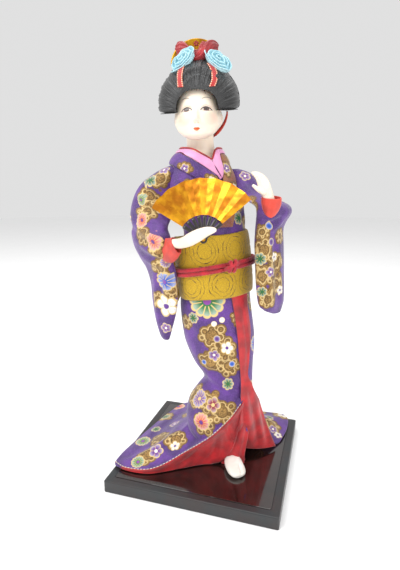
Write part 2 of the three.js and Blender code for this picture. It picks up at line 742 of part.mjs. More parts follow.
// Folded ribbon of red cloth between the roses: rows [x, y, z, half height, half thickness]
const BOW_RIBBON = [
  [-12, -2.6, 41.6, 2.2, 1.6],
  [-9.2, -3.4, 40, 3.8, 2.4],
  [-4.4, -5.4, 36.6, 2.8, 2],
  [1.6, -7, 33.6, 3.2, 2.4],
  [6, -6, 35.6, 3, 2.2],
  [10.4, -4.6, 38.4, 4.6, 2.6],
  [14.4, -3.6, 37.4, 2.6, 1.8],
];
const BOW_TIP = [
  [4, -5.4, 35.6, 2.4, 1.8],
  [5.4, -4.6, 39, 2.6, 1.8],
  [6.4, -4, 42, 1.6, 1.2],
];
const STRIP = { half: 1.7, lift: 0.4, thick: 0.7 };
const STRIPS = [
  { name: "hair_strip_right", rows: [[15.4, -9.6], [20, -10.2], [24.4, -10], [28.6, -9]] },
  { name: "hair_strip_left", rows: [[14.6, 10.4], [18, 11.8], [21.6, 12], [25.4, 11], [29, 9]] },
];

function strip({ rows }) {
  const { half, lift, thick } = STRIP;
  const grid = rows.map(([z, x]) => [-half, half].map((d) => vec(x + d, frontOf(DOME, x + d, z, lift), z)));
  return moved(orientated(slab(grid, thick, 0)), hairFrame);
}

// Fan: pleated leaf, sticks and rivet in the fan's own frame, X across, Y up the middle stick
const fanFrame = new THREE.Matrix4()
  .makeTranslation(FAN.x, FAN.y, FAN.z)
  .multiply(new THREE.Matrix4().makeRotationZ(radians(FAN.turn)))
  .multiply(new THREE.Matrix4().makeRotationX(radians(90 - FAN.lean)));
const PLEAT = { panels: 14, depth: 1.1, paper: 0.5 };

function fanLeaf() {
  const grid = [0, 1].map((row) =>
    Array.from({ length: PLEAT.panels + 1 }, (_, i) => {
      const w = radians(FAN.from + ((FAN.to - FAN.from) * i) / PLEAT.panels);
      const r = row ? FAN.radius : FAN.inner;
      const fold = (i % 2 ? 1 : -1) * PLEAT.depth * (r / FAN.radius);
      return vec(r * Math.cos(w), r * Math.sin(w), fold);
    }).reverse(),
  );
  const made = solid(slab(grid.reverse(), PLEAT.paper / 2, -PLEAT.paper / 2));
  return moved(made, fanFrame);
}

function fanSticks() {
  const count = PLEAT.panels / 2 + 1;
  const length = FAN.inner - GAP;
  const sticks = Array.from({ length: count }, (_, i) => {
    const w = radians(FAN.from + 2 + ((FAN.to - FAN.from - 4) * i) / (count - 1));
    const blade = new THREE.BoxGeometry(length, 2.4, 0.9);
    blade.translate(length / 2, 0, 0);
    blade.rotateZ(w);
    return solid(blade);
  });
  const hub = new THREE.CylinderGeometry(2.4, 2.4, 1.5, 20);
  hub.rotateX(Math.PI / 2);
  const joined = sticks.reduce((all, one) => all.add(one), solid(hub));
  return moved(joined, fanFrame);
}

function fanRivet() {
  const pin = new THREE.CylinderGeometry(0.9, 0.9, 0.7, 16);
  pin.rotateX(Math.PI / 2);
  pin.translate(0, 0, 0.75 + GAP + 0.35);
  return moved(solid(pin), fanFrame);
}

const COLLAR = { lift: 0.8, thick: 0.9 };

// Collars: bands on the shoulders, rows [angle, z] of the edge at the neck and [angle, z] of the outer edge
const COLLAR_EDGE = [
  [-46, 233, -46, 232],
  [-66, 236.4, -66, 235.3],
  [-93, 239.8, -93, 238.7],
  [-128, 241, -128, 240],
  [-175, 241.2, -175, 240.1],
  [-227, 241, -227, 239.9],
  [-280, 241.1, -280, 240],
  [-330, 241.1, -330, 240.1],
  [-372, 240.9, -372, 239.9],
  [-387, 240, -389, 238.4],
  [-397, 236.8, -397, 235.4],
  [-402.5, 233.6, -402.5, 232.3],
];
const COLLAR_PINK_RIGHT = [
  [-227, 239.4, -227, 235.6],
  [-175, 239.6, -175, 236.8],
  [-128, 239.6, -126, 237.4],
  [-111, 239.4, -106, 235.2],
  [-93, 238.3, -90, 232.9],
  [-66, 234.9, -65, 228],
  [-46, 231.6, -43, 223.3],
  [-39, 226.6, -34, 221],
  [-30, 220.6, -28.6, 219.8],
];
const COLLAR_PINK_LEFT = [
  [132, 239.4, 132, 235.6],
  [80, 239.6, 80, 236],
  [30, 239.7, 30, 236.4],
  [-12, 239.5, -6, 237],
  [-29.4, 238.1, -20, 235.6],
  [-43.5, 231.6, -19, 228.4],
  [-35.6, 226, -21, 224.4],
  [-27.6, 220.8, -26, 220.6],
];
const COLLAR_RIGHT = [
  [-227, 235.2, -229, 228],
  [-175, 236.4, -178, 229.4],
  [-132, 237, -140, 229.4],
  [-107, 234.8, -116, 226.6],
  [-90, 232.5, -98, 223.6],
  [-65, 227.6, -71, 217.6],
  [-43, 222.9, -50, 211],
  [-36, 220.4, -42, 209],
];
const COLLAR_LEFT = [
  [132, 235.2, 132, 228],
  [80, 235.6, 80, 229],
  [30, 236, 30, 230],
  [-5, 236.6, 10, 230],
  [-19, 235.2, 9, 227.4],
  [-18, 228, 8, 221.6],
  [-25.5, 219.6, 1, 213],
  [-29, 211.6, -5, 208],
  [-34, 204, -11, 201],
  [-38, 196, -17, 194],
  [-42, 187.6, -22, 187.6],
];

function collarBand(rows, grow = 0) {
  const { lift, thick } = COLLAR;
  const across = rows === COLLAR_EDGE ? 1 : 2;
  const sense = Math.sign(rows.at(-1)[0] - rows[0][0]);
  const place = (degrees, z) => {
    const r = reach(SHOULDERS, NECK, degrees, z) + lift - grow;
    return vec(NECK.x + r * Math.cos(radians(degrees)), NECK.y + r * Math.sin(radians(degrees)), z);
  };
  const last = rows.length - 1;
  const grid = rows.map(([a, z, b, y], i) => {
    const turn = grow * sense * (i === 0 ? -4 : i === last ? 4 : 0);
    return Array.from({ length: across + 1 }, (_, k) => {
      const t = k / across;
      const end = grow * (k === 0 ? 1 : k === across ? -1 : 0);
      return place(a + (b - a) * t + turn, z + (y - z) * t + end);
    });
  });
  return orientated(slab(grid, sense * (thick + 2 * grow), 0));
}

// The red ribbon that hangs from the hair behind the neck: rows [x, y, z, half width, half thickness]
const NAPE_RIBBON = [
  [8.8, 4.6, 264.6, 1.4, 0.6],
  [8.4, 5.6, 262.4, 1.4, 0.6],
  [6.6, 7.6, 258.6, 1.4, 0.6],
  [3.2, 10.2, 254.6, 1.4, 0.6],
  [-0.8, 12, 251.4, 1.4, 0.6],
  [-5, 13.4, 249.6, 1.4, 0.6],
];

// Assembly
const geishaDoll = new THREE.Group();
const add = (name, material, made) => geishaDoll.add(piece(name, material, made));

const flat = vec(1, 0, 0);
const foot = (grow = 0) => swept(FOOT, { sides: 10, steps: 1, side: vec(0.87, 0.49, 0), grow });
const below = new THREE.BoxGeometry(60, 60, 20);
below.translate(25, -25, FLOOR - 10);
const underskirt = (grow = 0) => lofted(UNDERSKIRT, { sides: 16, grow });
const bodice = (grow = 0) => lofted(BODICE, { sides: 20, grow });
const cuffRight = (grow = 0) => swept(CUFF_RIGHT, { sides: 12, steps: 1, grow });
const cuffLeft = (grow = 0) => swept(CUFF_LEFT, { sides: 12, steps: 1, side: flat, grow });
const handRight = (grow = 0) => swept(HAND_RIGHT, { sides: 10, steps: 1, grow });
const palmLeft = (grow) => swept(HAND_LEFT, { sides: 10, steps: 1, side: flat, grow });
const thumbLeft = (grow) => swept(THUMB_LEFT, { sides: 6, steps: 1, side: flat, grow });
const handLeft = (grow = 0) => palmLeft(grow).add(thumbLeft(grow));
const bandRoom = frontBand(3, -GAP - 0.1, 2 * GAP);
const waist = [sash(GAP), cordLoop(GAP)];
const collars = [
  ["collar_edge", RED_SILK, COLLAR_EDGE],
  ["collar_inner_right", PINK_SILK, COLLAR_PINK_RIGHT],
  ["collar_inner_left", PINK_SILK, COLLAR_PINK_LEFT],
  ["collar_outer_right", BROCADE, COLLAR_RIGHT],
  ["collar_outer_left", BROCADE, COLLAR_LEFT],
];
const collarRooms = collars.map(([, , rows]) => collarBand(rows, GAP));
const roseRooms = ROSES.map((one) => rose(one, GAP));
const hairRoom = hairMass(GAP);
const knotRoom = swept(CORD_KNOT, { sides: 8, grow: GAP });

const cloth = lofted(COLUMN, { sides: 20 }).add(train());
const liningRoom = hemLining(6, -CLOTH - GAP - 0.1, 2 * GAP);
const skirt = less(cloth, liningRoom, bandRoom, underskirt(HOLLOW), waist[0]);
add("stand", LACQUER, stand());
add("kimono_skirt", BROCADE, skirt);
add("hem_lining", RED_SILK, less(hemLining(0, -CLOTH), bandRoom, underskirt(GAP), skirt));
add("front_band", RED_SILK, less(frontBand(CLOTH, 0), underskirt(GAP), waist[0]));
add("underskirt", RED_SILK, less(underskirt(), foot(GAP)));
add("tabi_foot", WHITE_COTTON, less(foot(), solid(below)));
add("kimono_bodice", BROCADE, less(bodice(), head(GAP), waist[0], ...collarRooms.slice(2)));
collars.forEach(([name, material, rows], i) => {
  add(name, material, less(collarBand(rows), ...collarRooms.slice(i + 1), head(GAP)));
});
add("sash", GOLD_BROCADE, sash());
add("sash_cord", RED_CORD, cordLoop().subtract(knotRoom));
add("sash_cord_knot", RED_CORD, swept(CORD_KNOT, { sides: 8 }).subtract(waist[0]));
add("sash_bow_knot", GOLD_BROCADE, less(bowKnot(), ...waist));
add("sash_bow_right", GOLD_BROCADE, less(bowLoop(BOW_RIGHT, -1), ...waist, bowKnot(GAP)));
add("sash_bow_left", GOLD_BROCADE, less(bowLoop(BOW_LEFT, 1), ...waist, bowKnot(GAP)));
const sleeveRight = lofted(SLEEVE_RIGHT, { sides: 14 });
const sleeveLeft = lofted(SLEEVE_LEFT, { sides: 14 });
const body = [bodice(GAP), ...waist];
add("sleeve_right", BROCADE, less(sleeveRight, ...body, collarRooms[3], cuffRight(GAP)));
add("sleeve_left", BROCADE, less(sleeveLeft, ...body, collarRooms[4], cuffLeft(GAP), handLeft(GAP)));
add("cuff_right", RED_SILK, cuffRight().subtract(handRight(GAP)));
add("cuff_left", RED_SILK, cuffLeft().subtract(handLeft(GAP)));
add("hand_right", SKIN, handRight());
add("hand_left", SKIN, handLeft());
add("head", SKIN, head());
add("hair", HAIR, hair());
add("hair_comb", GOLD_PAPER, comb().subtract(hairRoom));
for (const one of ROSES) add(one.name, BLUE_SATIN, less(rose(one), hairRoom, comb(GAP)));
const ribbon = swept(BOW_RIBBON, { sides: 7, steps: 1 }).add(swept(BOW_TIP, { sides: 5, steps: 1 }));
add("hair_ribbon", RED_SILK, less(moved(ribbon, headFrame), hairRoom, comb(GAP), ...roseRooms));
for (const one of STRIPS) add(one.name, RED_SILK, less(strip(one), hairRoom, ...roseRooms));
add("nape_ribbon", RED_SILK, less(swept(NAPE_RIBBON, { sides: 6, steps: 1 }), hairRoom, head(GAP)));
add("fan_leaf", GOLD_PAPER, fanLeaf());
add("fan_sticks", BLACK_WOOD, fanSticks());
add("fan_rivet", GOLD_PAPER, fanRivet());

export default geishaDoll;
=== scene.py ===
"""The looks of a geisha doll on a black stand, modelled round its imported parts.

Lengths are in millimetres and become metres where a mesh is made. Right and left are the doll's own.
Places marked as seen are pixels of the photograph, and a ray from the camera finds them on a piece.
"""
import math

import bpy
import numpy as np
from mathutils import Matrix, Vector
from mathutils.bvhtree import BVHTree


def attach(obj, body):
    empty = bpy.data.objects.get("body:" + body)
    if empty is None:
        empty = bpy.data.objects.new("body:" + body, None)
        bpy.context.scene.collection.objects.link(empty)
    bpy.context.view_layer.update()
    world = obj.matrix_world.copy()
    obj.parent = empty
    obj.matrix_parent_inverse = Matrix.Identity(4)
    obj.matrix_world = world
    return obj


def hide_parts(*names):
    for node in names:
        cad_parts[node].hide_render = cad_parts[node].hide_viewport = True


MM = 0.001
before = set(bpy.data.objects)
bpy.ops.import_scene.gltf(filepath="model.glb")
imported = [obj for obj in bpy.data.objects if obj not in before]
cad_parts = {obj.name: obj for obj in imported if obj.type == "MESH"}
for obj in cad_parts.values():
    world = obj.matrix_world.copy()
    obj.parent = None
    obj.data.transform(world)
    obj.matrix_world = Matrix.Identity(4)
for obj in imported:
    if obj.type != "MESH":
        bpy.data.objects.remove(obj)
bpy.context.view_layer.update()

# Camera, as the corners of the stand give it
PHOTO = (400, 570)
EYE = np.array([82.16, -300.18, 214.2])
YAW, PITCH = math.radians(16.924), math.radians(12.813)
FOCAL = 430.35
SENSOR = 36
VIEW = np.array([-math.sin(YAW) * math.cos(PITCH), math.cos(YAW) * math.cos(PITCH), -math.sin(PITCH)])
SIDEWAYS = np.array([math.cos(YAW), math.sin(YAW), 0])
UPWARDS = np.cross(SIDEWAYS, VIEW)

# Shared with the solids
FLOOR = 9.5
TORSO_TURN = 40
NECK = (-9.6, 1.0)
HEAD = {"at": (-9.3, -3.5, 263), "turn": 12, "roll": 2.5}
FAN = {"at": (5.5, -41, 182), "turn": 12, "lean": 14, "radius": 39, "inner": 15.6, "from": 41, "to": 149}


def camera():
    data = bpy.data.cameras.new("camera")
    data.sensor_width = SENSOR
    data.lens = FOCAL * SENSOR / PHOTO[1]
    data.clip_start = 0.01
    eye = bpy.data.objects.new("camera", data)
    eye.location = Vector(EYE * MM)
    eye.rotation_euler = (math.pi / 2 - PITCH, 0, YAW)
    bpy.context.scene.collection.objects.link(eye)
    bpy.context.scene.camera = eye


def sight(x, y):
    """The direction from the camera through a pixel of the photograph."""
    return VIEW + (x - PHOTO[0] / 2) / FOCAL * SIDEWAYS - (y - PHOTO[1] / 2) / FOCAL * UPWARDS


# Curves and sections
def smooth(rows, steps):
    """Rows of numbers with further rows between them, on a smooth curve through them."""
    rows = np.array(rows, float)
    last = len(rows) - 1
    t = np.linspace(0, last, last * steps + 1)
    i = np.minimum(t.astype(int), last - 1)
    f = (t - i)[:, None]
    p, q, r, s = (rows[np.clip(i + k, 0, last)] for k in (-1, 0, 1, 2))
    return 0.5 * (2 * q + (r - p) * f + (2 * p - 5 * q + 4 * r - s) * f**2 + (3 * q - p - 3 * r + s) * f**3)


def full(rows):
    """Section rows [z, x, y, a, b, turn, power] with turn 0 and power 2 where they are left out."""
    return [[*row, 0, 2][:7] if len(row) < 6 else [*row, 2][:7] for row in rows]


def ovals(rows, sides):
    z, x, y, a, b, turn, power = (v[:, None] for v in np.array(rows, float).T)
    w = np.linspace(0, 2 * math.pi, sides, endpoint=False)
    u = a * np.sign(np.cos(w)) * np.abs(np.cos(w)) ** (2 / power)
    v = b * np.sign(np.sin(w)) * np.abs(np.sin(w)) ** (2 / power)
    c, s = np.cos(np.radians(turn)), np.sin(np.radians(turn))
    return np.stack([x + u * c - v * s, y + u * s + v * c, z + 0 * u], -1)


def reach(rows, axis, angle, z):
    """The distance from an upright axis to the side of a loft, for arrays of angles and heights."""
    table = smooth(full(rows), 12)
    order = np.argsort(table[:, 0])
    x, y, a, b, turn = (np.interp(z, table[order, 0], table[order, k]) for k in range(1, 6))
    t = np.radians(turn)
    ox, oy = axis[0] - x, axis[1] - y
    px, py = ox * np.cos(t) + oy * np.sin(t), oy * np.cos(t) - ox * np.sin(t)
    dx, dy = np.cos(angle - t), np.sin(angle - t)
    A = (dx / a) ** 2 + (dy / b) ** 2
    B = px * dx / a**2 + py * dy / b**2
    C = (px / a) ** 2 + (py / b) ** 2 - 1
    return (-B + np.sqrt(np.maximum(B * B - A * C, 0))) / A


def front(rows, x, z, lift=0.0):
    """The y of the front of a loft at places x and heights z."""
    table = smooth(full(rows), 12)
    cx, cy, a, b, turn = (np.interp(z, table[:, 0], table[:, k]) for k in range(1, 6))
    c, s = np.cos(np.radians(turn)), np.sin(np.radians(turn))
    p, q = (a + lift) ** 2, (b + lift) ** 2
    A = s * s / p + c * c / q
    B = 2 * (x - cx) * c * s * (1 / p - 1 / q)
    C = (x - cx) ** 2 * (c * c / p + s * s / q) - 1
    return cy + (-B - np.sqrt(np.maximum(B * B - 4 * A * C, 0))) / (2 * A)


def bell(x, width):
    return np.exp(-((x / width) ** 2))


def step(x, low, high):
    t = np.clip((x - low) / (high - low), 0, 1)
    return t * t * (3 - 2 * t)


class Sheet:
    """A grid of points [row, column, xyz] that may close on itself sideways."""

    def __init__(self, points, wrap=False):
        self.points = np.array(points, float)
        self.wrap = wrap

    def faces(self):
        rows, cols = self.points.shape[:2]
        i = np.arange(rows - 1)[:, None] * cols
        k = np.arange(cols if self.wrap else cols - 1)
        m = (k + 1) % cols
        return np.stack([i + k, i + m, i + cols + m, i + cols + k], -1).reshape(-1, 4)

    def normals(self):
        p = self.points
        if self.wrap:
            across = np.roll(p, -1, 1) - np.roll(p, 1, 1)
        else:
            across = np.gradient(p, axis=1)
        n = np.cross(across, np.gradient(p, axis=0))
        return n / np.maximum(np.linalg.norm(n, axis=2, keepdims=True), 1e-9)

    def push(self, amount):
        self.points = self.points + self.normals() * np.asarray(amount)[..., None]
        return self

    def closed(self):
        """The same with shut ends, where its first and last loops are drawn together."""
        ends = []
        for loop in (self.points[:1], self.points[-1:]):
            middle = loop.mean(1, keepdims=True)
            ends.append(middle + 0.001 * (loop - middle))
        self.points = np.concatenate([ends[0], self.points, ends[1]])
        return self

    def tree(self):
        return BVHTree.FromPolygons(self.points.reshape(-1, 3).tolist(), self.faces().tolist())

    def fold(self, lines):
        """Presses valleys with raised sides along lines seen in the photograph: pixels, width, depth."""
        normals = self.normals()
        tree = self.tree()
        points = self.points.reshape(-1, 3)
        move = np.zeros(len(points))
        for pixels, width, depth in lines:
            hits = [tree.ray_cast(Vector(EYE), Vector(sight(*p))) for p in pixels]
            hits = [h for h in hits if h[0] is not None]
            if len(hits) < 2:
                continue
            path = smooth([h[0] for h in hits], 12)
            facing = np.mean([h[1] for h in hits], axis=0)
            gap = np.linalg.norm(points[:, None] - path[None], axis=2)
            t = gap.min(1) / width
            fade = np.sin(math.pi * (gap.argmin(1) + 0.5) / len(path)) ** 0.5
            same = normals.reshape(-1, 3) @ facing * np.sign(facing @ np.array(hits[0][1])) > 0.1
            move -= same * fade * depth * (bell(t, 1) - 0.6 * bell(t - 1.9, 0.9))
        return self.push(move.reshape(self.points.shape[:2]))


def lofted(rows, sides=160, steps=10):
    return Sheet(ovals(smooth(full(rows), steps), sides), wrap=True)


def tube(path, sides=16, steps=6, side=(0, 0, 1), rope=None):
    """A limb along rows [x, y, z, half width, half thickness], the width lying nearest to side."""
    rows = smooth(path, steps)
    ahead = np.gradient(rows[:, :3], axis=0)
    ahead /= np.linalg.norm(ahead, axis=1, keepdims=True)
    across = np.array(side, float) - ahead * (ahead @ np.array(side, float))[:, None]
    across /= np.linalg.norm(across, axis=1, keepdims=True)
    up = np.cross(ahead, across)
    w = np.linspace(0, 2 * math.pi, sides, endpoint=False)
    swell = np.ones((len(rows), sides))
    if rope:
        strands, pitch, depth = rope
        run = np.concatenate([[0], np.cumsum(np.linalg.norm(np.diff(rows[:, :3], axis=0), axis=1))])
        swell = 1 - depth + depth * np.abs(np.sin(strands / 2 * (w[None] + 2 * math.pi * run[:, None] / pitch)))
    out = across[:, None] * (rows[:, 3, None] * swell * np.cos(w))[..., None]
    out = out + up[:, None] * (rows[:, 4, None] * swell * np.sin(w))[..., None]
    return Sheet(rows[:, None, :3] + out, wrap=True)


# Meshes
def mesh(name, points, faces, look, nodes=(), data=(), flat=False):
    """A piece of the doll. data holds rows of (attribute, kind, domain, values)."""
    made = bpy.data.meshes.new(name)
    made.from_pydata((np.asarray(points) * MM).tolist(), [], [list(map(int, f)) for f in faces])
    made.polygons.foreach_set("use_smooth", [not flat] * len(made.polygons))
    for attribute, kind, domain, values in data:
        field = "value" if kind == "FLOAT" else "vector"
        made.attributes.new(attribute, kind, domain).data.foreach_set(field, np.ravel(values))
    made.materials.append(look)
    made.update()
    piece = bpy.data.objects.new(name, made)
    bpy.context.scene.collection.objects.link(piece)
    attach(piece, "root")
    if nodes:
        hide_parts(*nodes)
    return piece


def joined(sheets, caps=True):
    """Points and faces of several sheets as one mesh, with closed ends where a sheet closes on itself."""
    points, faces, start = [], [], 0
    for sheet in sheets:
        rows, cols = sheet.points.shape[:2]
        points.append(sheet.points.reshape(-1, 3))
        faces += (sheet.faces() + start).tolist()
        if sheet.wrap and caps:
            faces.append([start + k for k in reversed(range(cols))])
            faces.append([start + (rows - 1) * cols + k for k in range(cols)])
        start += rows * cols
    return np.concatenate(points), faces


def thicken(piece, thickness, offset=-1.0):
    modifier = piece.modifiers.new("thickness", "SOLIDIFY")
    modifier.thickness = thickness * MM
    modifier.offset = offset
    return piece


# Looks
def colour(code):
    parts = [int(code[i : i + 2], 16) / 255 for i in (0, 2, 4)]
    return (*[c / 12.92 if c < 0.04045 else ((c + 0.055) / 1.055) ** 2.4 for c in parts], 1)


class Value:
    """A number or colour inside a look, on which plain arithmetic makes nodes."""

    def __init__(self, look, socket):
        self.look, self.socket = look, socket

    def maths(self, operation, *others):
        return Value(self.look, self.look.node("ShaderNodeMath", self, *others, operation=operation).outputs[0])

    def __add__(self, other):
        return self.maths("ADD", other)

    def __sub__(self, other):
        return self.maths("SUBTRACT", other)

    def __mul__(self, other):
        return self.maths("MULTIPLY", other)

    def __truediv__(self, other):
        return self.maths("DIVIDE", other)

    def __pow__(self, other):
        return self.maths("POWER", other)

    def __abs__(self):
        return self.maths("ABSOLUTE")

    def ramp(self, low, high):
        """A smooth step from 0 at low to 1 at high."""
        node = self.look.node("ShaderNodeMapRange", self, low, high, interpolation_type="SMOOTHSTEP")
        return Value(self.look, node.outputs[0])

    def parts(self):
        node = self.look.node("ShaderNodeSeparateXYZ", self)
        return [Value(self.look, out) for out in node.outputs]


class Look:
    def __init__(self, name, roughness=0.5, metallic=0.0, **sockets):
        self.material = bpy.data.materials.new(name)
        self.material.use_nodes = True
        self.tree = self.material.node_tree
        self.shader = self.tree.nodes["Principled BSDF"]
        self.shader.inputs["Roughness"].default_value = roughness
        self.shader.inputs["Metallic"].default_value = metallic
        for socket, value in sockets.items():
            self.shader.inputs[socket.replace("_", " ")].default_value = value

    def node(self, kind, *values, **settings):
        node = self.tree.nodes.new(kind)
        for key, value in settings.items():
            setattr(node, key, value)
        for socket, value in zip(node.inputs, values):
            self.feed(socket, value)
        return node

    def feed(self, socket, value):
        if isinstance(value, Value):
            self.tree.links.new(value.socket, socket)
        elif value is not None:
            socket.default_value = value

    def mix(self, factor, a, b):
        node = self.tree.nodes.new("ShaderNodeMix")
        node.data_type = "RGBA"
        for place, value in ((0, factor), (6, a), (7, b)):
            self.feed(node.inputs[place], value)
        return Value(self, node.outputs[2])

    def attribute(self, name):
        return Value(self, self.node("ShaderNodeAttribute", attribute_name=name).outputs["Vector"])

    def place(self, stretch=(1, 1, 1)):
        """The place on the doll, in millimetres, stretched along its axes."""
        at = Value(self, self.node("ShaderNodeTexCoord").outputs["Object"])
        scale = tuple(s / MM for s in stretch)
        node = self.node("ShaderNodeVectorMath", at, scale, operation="MULTIPLY")
        return Value(self, node.outputs[0])

    def noise(self, at, size, detail=2.0, rough=0.5):
        node = self.node("ShaderNodeTexNoise")
        self.feed(node.inputs["Vector"], at)
        node.inputs["Scale"].default_value = 1 / size
        node.inputs["Detail"].default_value = detail
        node.inputs["Roughness"].default_value = rough
        return Value(self, node.outputs[0])

    def combine(self, x, y, z):
        return Value(self, self.node("ShaderNodeCombineXYZ", x, y, z).outputs[0])

    def finish(self, tint=None, roughness=None, metallic=None, height=None, depth=0.1):
        """Links what varies over the surface. height is in units of depth, in millimetres."""
        self.feed(self.shader.inputs["Base Color"], tint)
        self.feed(self.shader.inputs["Roughness"], roughness)
        self.feed(self.shader.inputs["Metallic"], metallic)
        if height is not None:
            bump = self.tree.nodes.new("ShaderNodeBump")
            bump.inputs["Strength"].default_value = 1
            bump.inputs["Distance"].default_value = depth * MM
            self.feed(bump.inputs["Height"], height)
            self.tree.links.new(bump.outputs[0], self.shader.inputs["Normal"])
        return self.material


def threads(look, pitch):
    """Crossed threads, from 0 between them to 1 on them."""
    x, y, z = look.place().parts()
    turn = 2 * math.pi / pitch
    over = (x * turn).maths("SINE") + (y * turn).maths("SINE")
    return over * (z * turn).maths("SINE") * 0.25 + 0.5


def satin(name, base, shade, roughness=0.42, **sockets):
    look = Look(name, Sheen_Weight=0.3, **sockets)
    patch = look.noise(look.place(), 9)
    tint = look.mix(patch.ramp(0.3, 0.75), colour(shade), colour(base))
    weave = threads(look, 0.5)
    rough = look.noise(look.place((1, 1, 0.3)), 1.2) * 0.2 + (roughness - 0.1)
    return look.finish(tint, rough, height=weave + look.noise(look.place(), 2.5) * 2, depth=0.06)


def brocade(name, ground, deep, clouds=True, gold="b08a4a", dark="4e3418"):
    """Woven cloth: scalloped gold clouds and round flowers, whose places the mesh carries."""
    look = Look(name, Sheen_Weight=0.25)
    x, y, cloud = look.attribute("motif").parts()
    petals, notch, line = look.attribute("petals").parts()
    fine = look.noise(look.place(), 0.55, 1)
    grain = look.noise(look.place((1, 1, 2.2)), 0.9, 2, 0.7)
    tint = look.mix(look.noise(look.place(), 11).ramp(0.35, 0.7), colour(deep), colour(ground))
    tint = look.mix(fine.ramp(0.45, 0.8) * 0.35, tint, colour("9a6cc4" if clouds else gold))
    gilt = cloud.ramp(0.1, -0.1)
    thread = look.mix(grain.ramp(0.34, 0.62), colour(dark), colour(gold))
    thread = look.mix(abs(cloud + 1.5).ramp(0.42, 0.18) * 0.75, thread, colour("e0c58a"))
    thread = look.mix(abs(cloud + 2.5).ramp(0.4, 0.2) * 0.6, thread, colour(dark))
    tint = look.mix(gilt, tint, thread)
    tint = look.mix(abs(cloud).ramp(0.4, 0.15), tint, colour("6a4a22"))
    r = (x * x + y * y).maths("SQRT")
    wave = abs((y.maths("ARCTAN2", x) * petals * 0.5).maths("COSINE"))
    inside = (wave**0.6 - 1) * notch + 1 - r
    flower = inside.ramp(0, 0.04)
    split = (wave * r / petals).ramp(0.024, 0.008) * r.ramp(0.3, 0.36) * line
    ray = look.mix(r.ramp(0.35, 1) * 0.4, look.attribute("petal"), colour("ffffff"))
    ray = look.mix(grain.ramp(0.62, 0.35) * 0.3, ray, colour("201018"))
    tint = look.mix(flower, tint, ray)
    rim = abs(inside).ramp(0.1, 0.05)
    core = r.ramp(0.27, 0.22) * line
    tint = look.mix(core, look.mix(rim.maths("MAXIMUM", split * flower), tint, colour("d9bd7c")), look.attribute("core"))
    metal = gilt * (flower * -1 + 1) * 0.45
    rough = grain * 0.2 + 0.42
    return look.finish(tint, rough, metal, threads(look, 0.6) + grain * gilt * 2 + flower, 0.12)


def skin():
    """The cream of the head and hands, with faint warmth where it is thin."""
    look = Look("skin", 0.36, Subsurface_Weight=0.12, Coat_Weight=0.15, Coat_Roughness=0.3)
    look.shader.inputs["Subsurface Radius"].default_value = (1, 0.5, 0.3)
    look.shader.inputs["Subsurface Scale"].default_value = 1.2 * MM
    patch = look.noise(look.place(), 14)
    tint = look.mix(patch.ramp(0.35, 0.7), colour("e9d8c4"), colour("f0e2d0"))
    return look, tint


def plain_skin():
    look, tint = skin()
    return look.finish(tint, height=look.noise(look.place(), 3), depth=0.03)


HEAD_AXES = (
    Matrix.Translation(Vector(HEAD["at"]))
    @ Matrix.Rotation(math.radians(HEAD["turn"]), 4, "Z")
    @ Matrix.Rotation(math.radians(-HEAD["roll"]), 4, "Y")
)

# The painted face, in the head's own frame: x to the right in a view from the front, z up
EYES = {"apart": 6.3, "x": 0.4, "z": -1.0, "half": 3.5, "tall": 1.7, "low": 0.55, "iris": 1.75}
BROWS = {"apart": 6.6, "z": 5.6, "half": 3.1, "arch": 1.0, "thick": 0.42}
LIPS = {"x": 0.2, "z": -12.3, "half": 2.2, "up": 0.95, "down": 1.35}


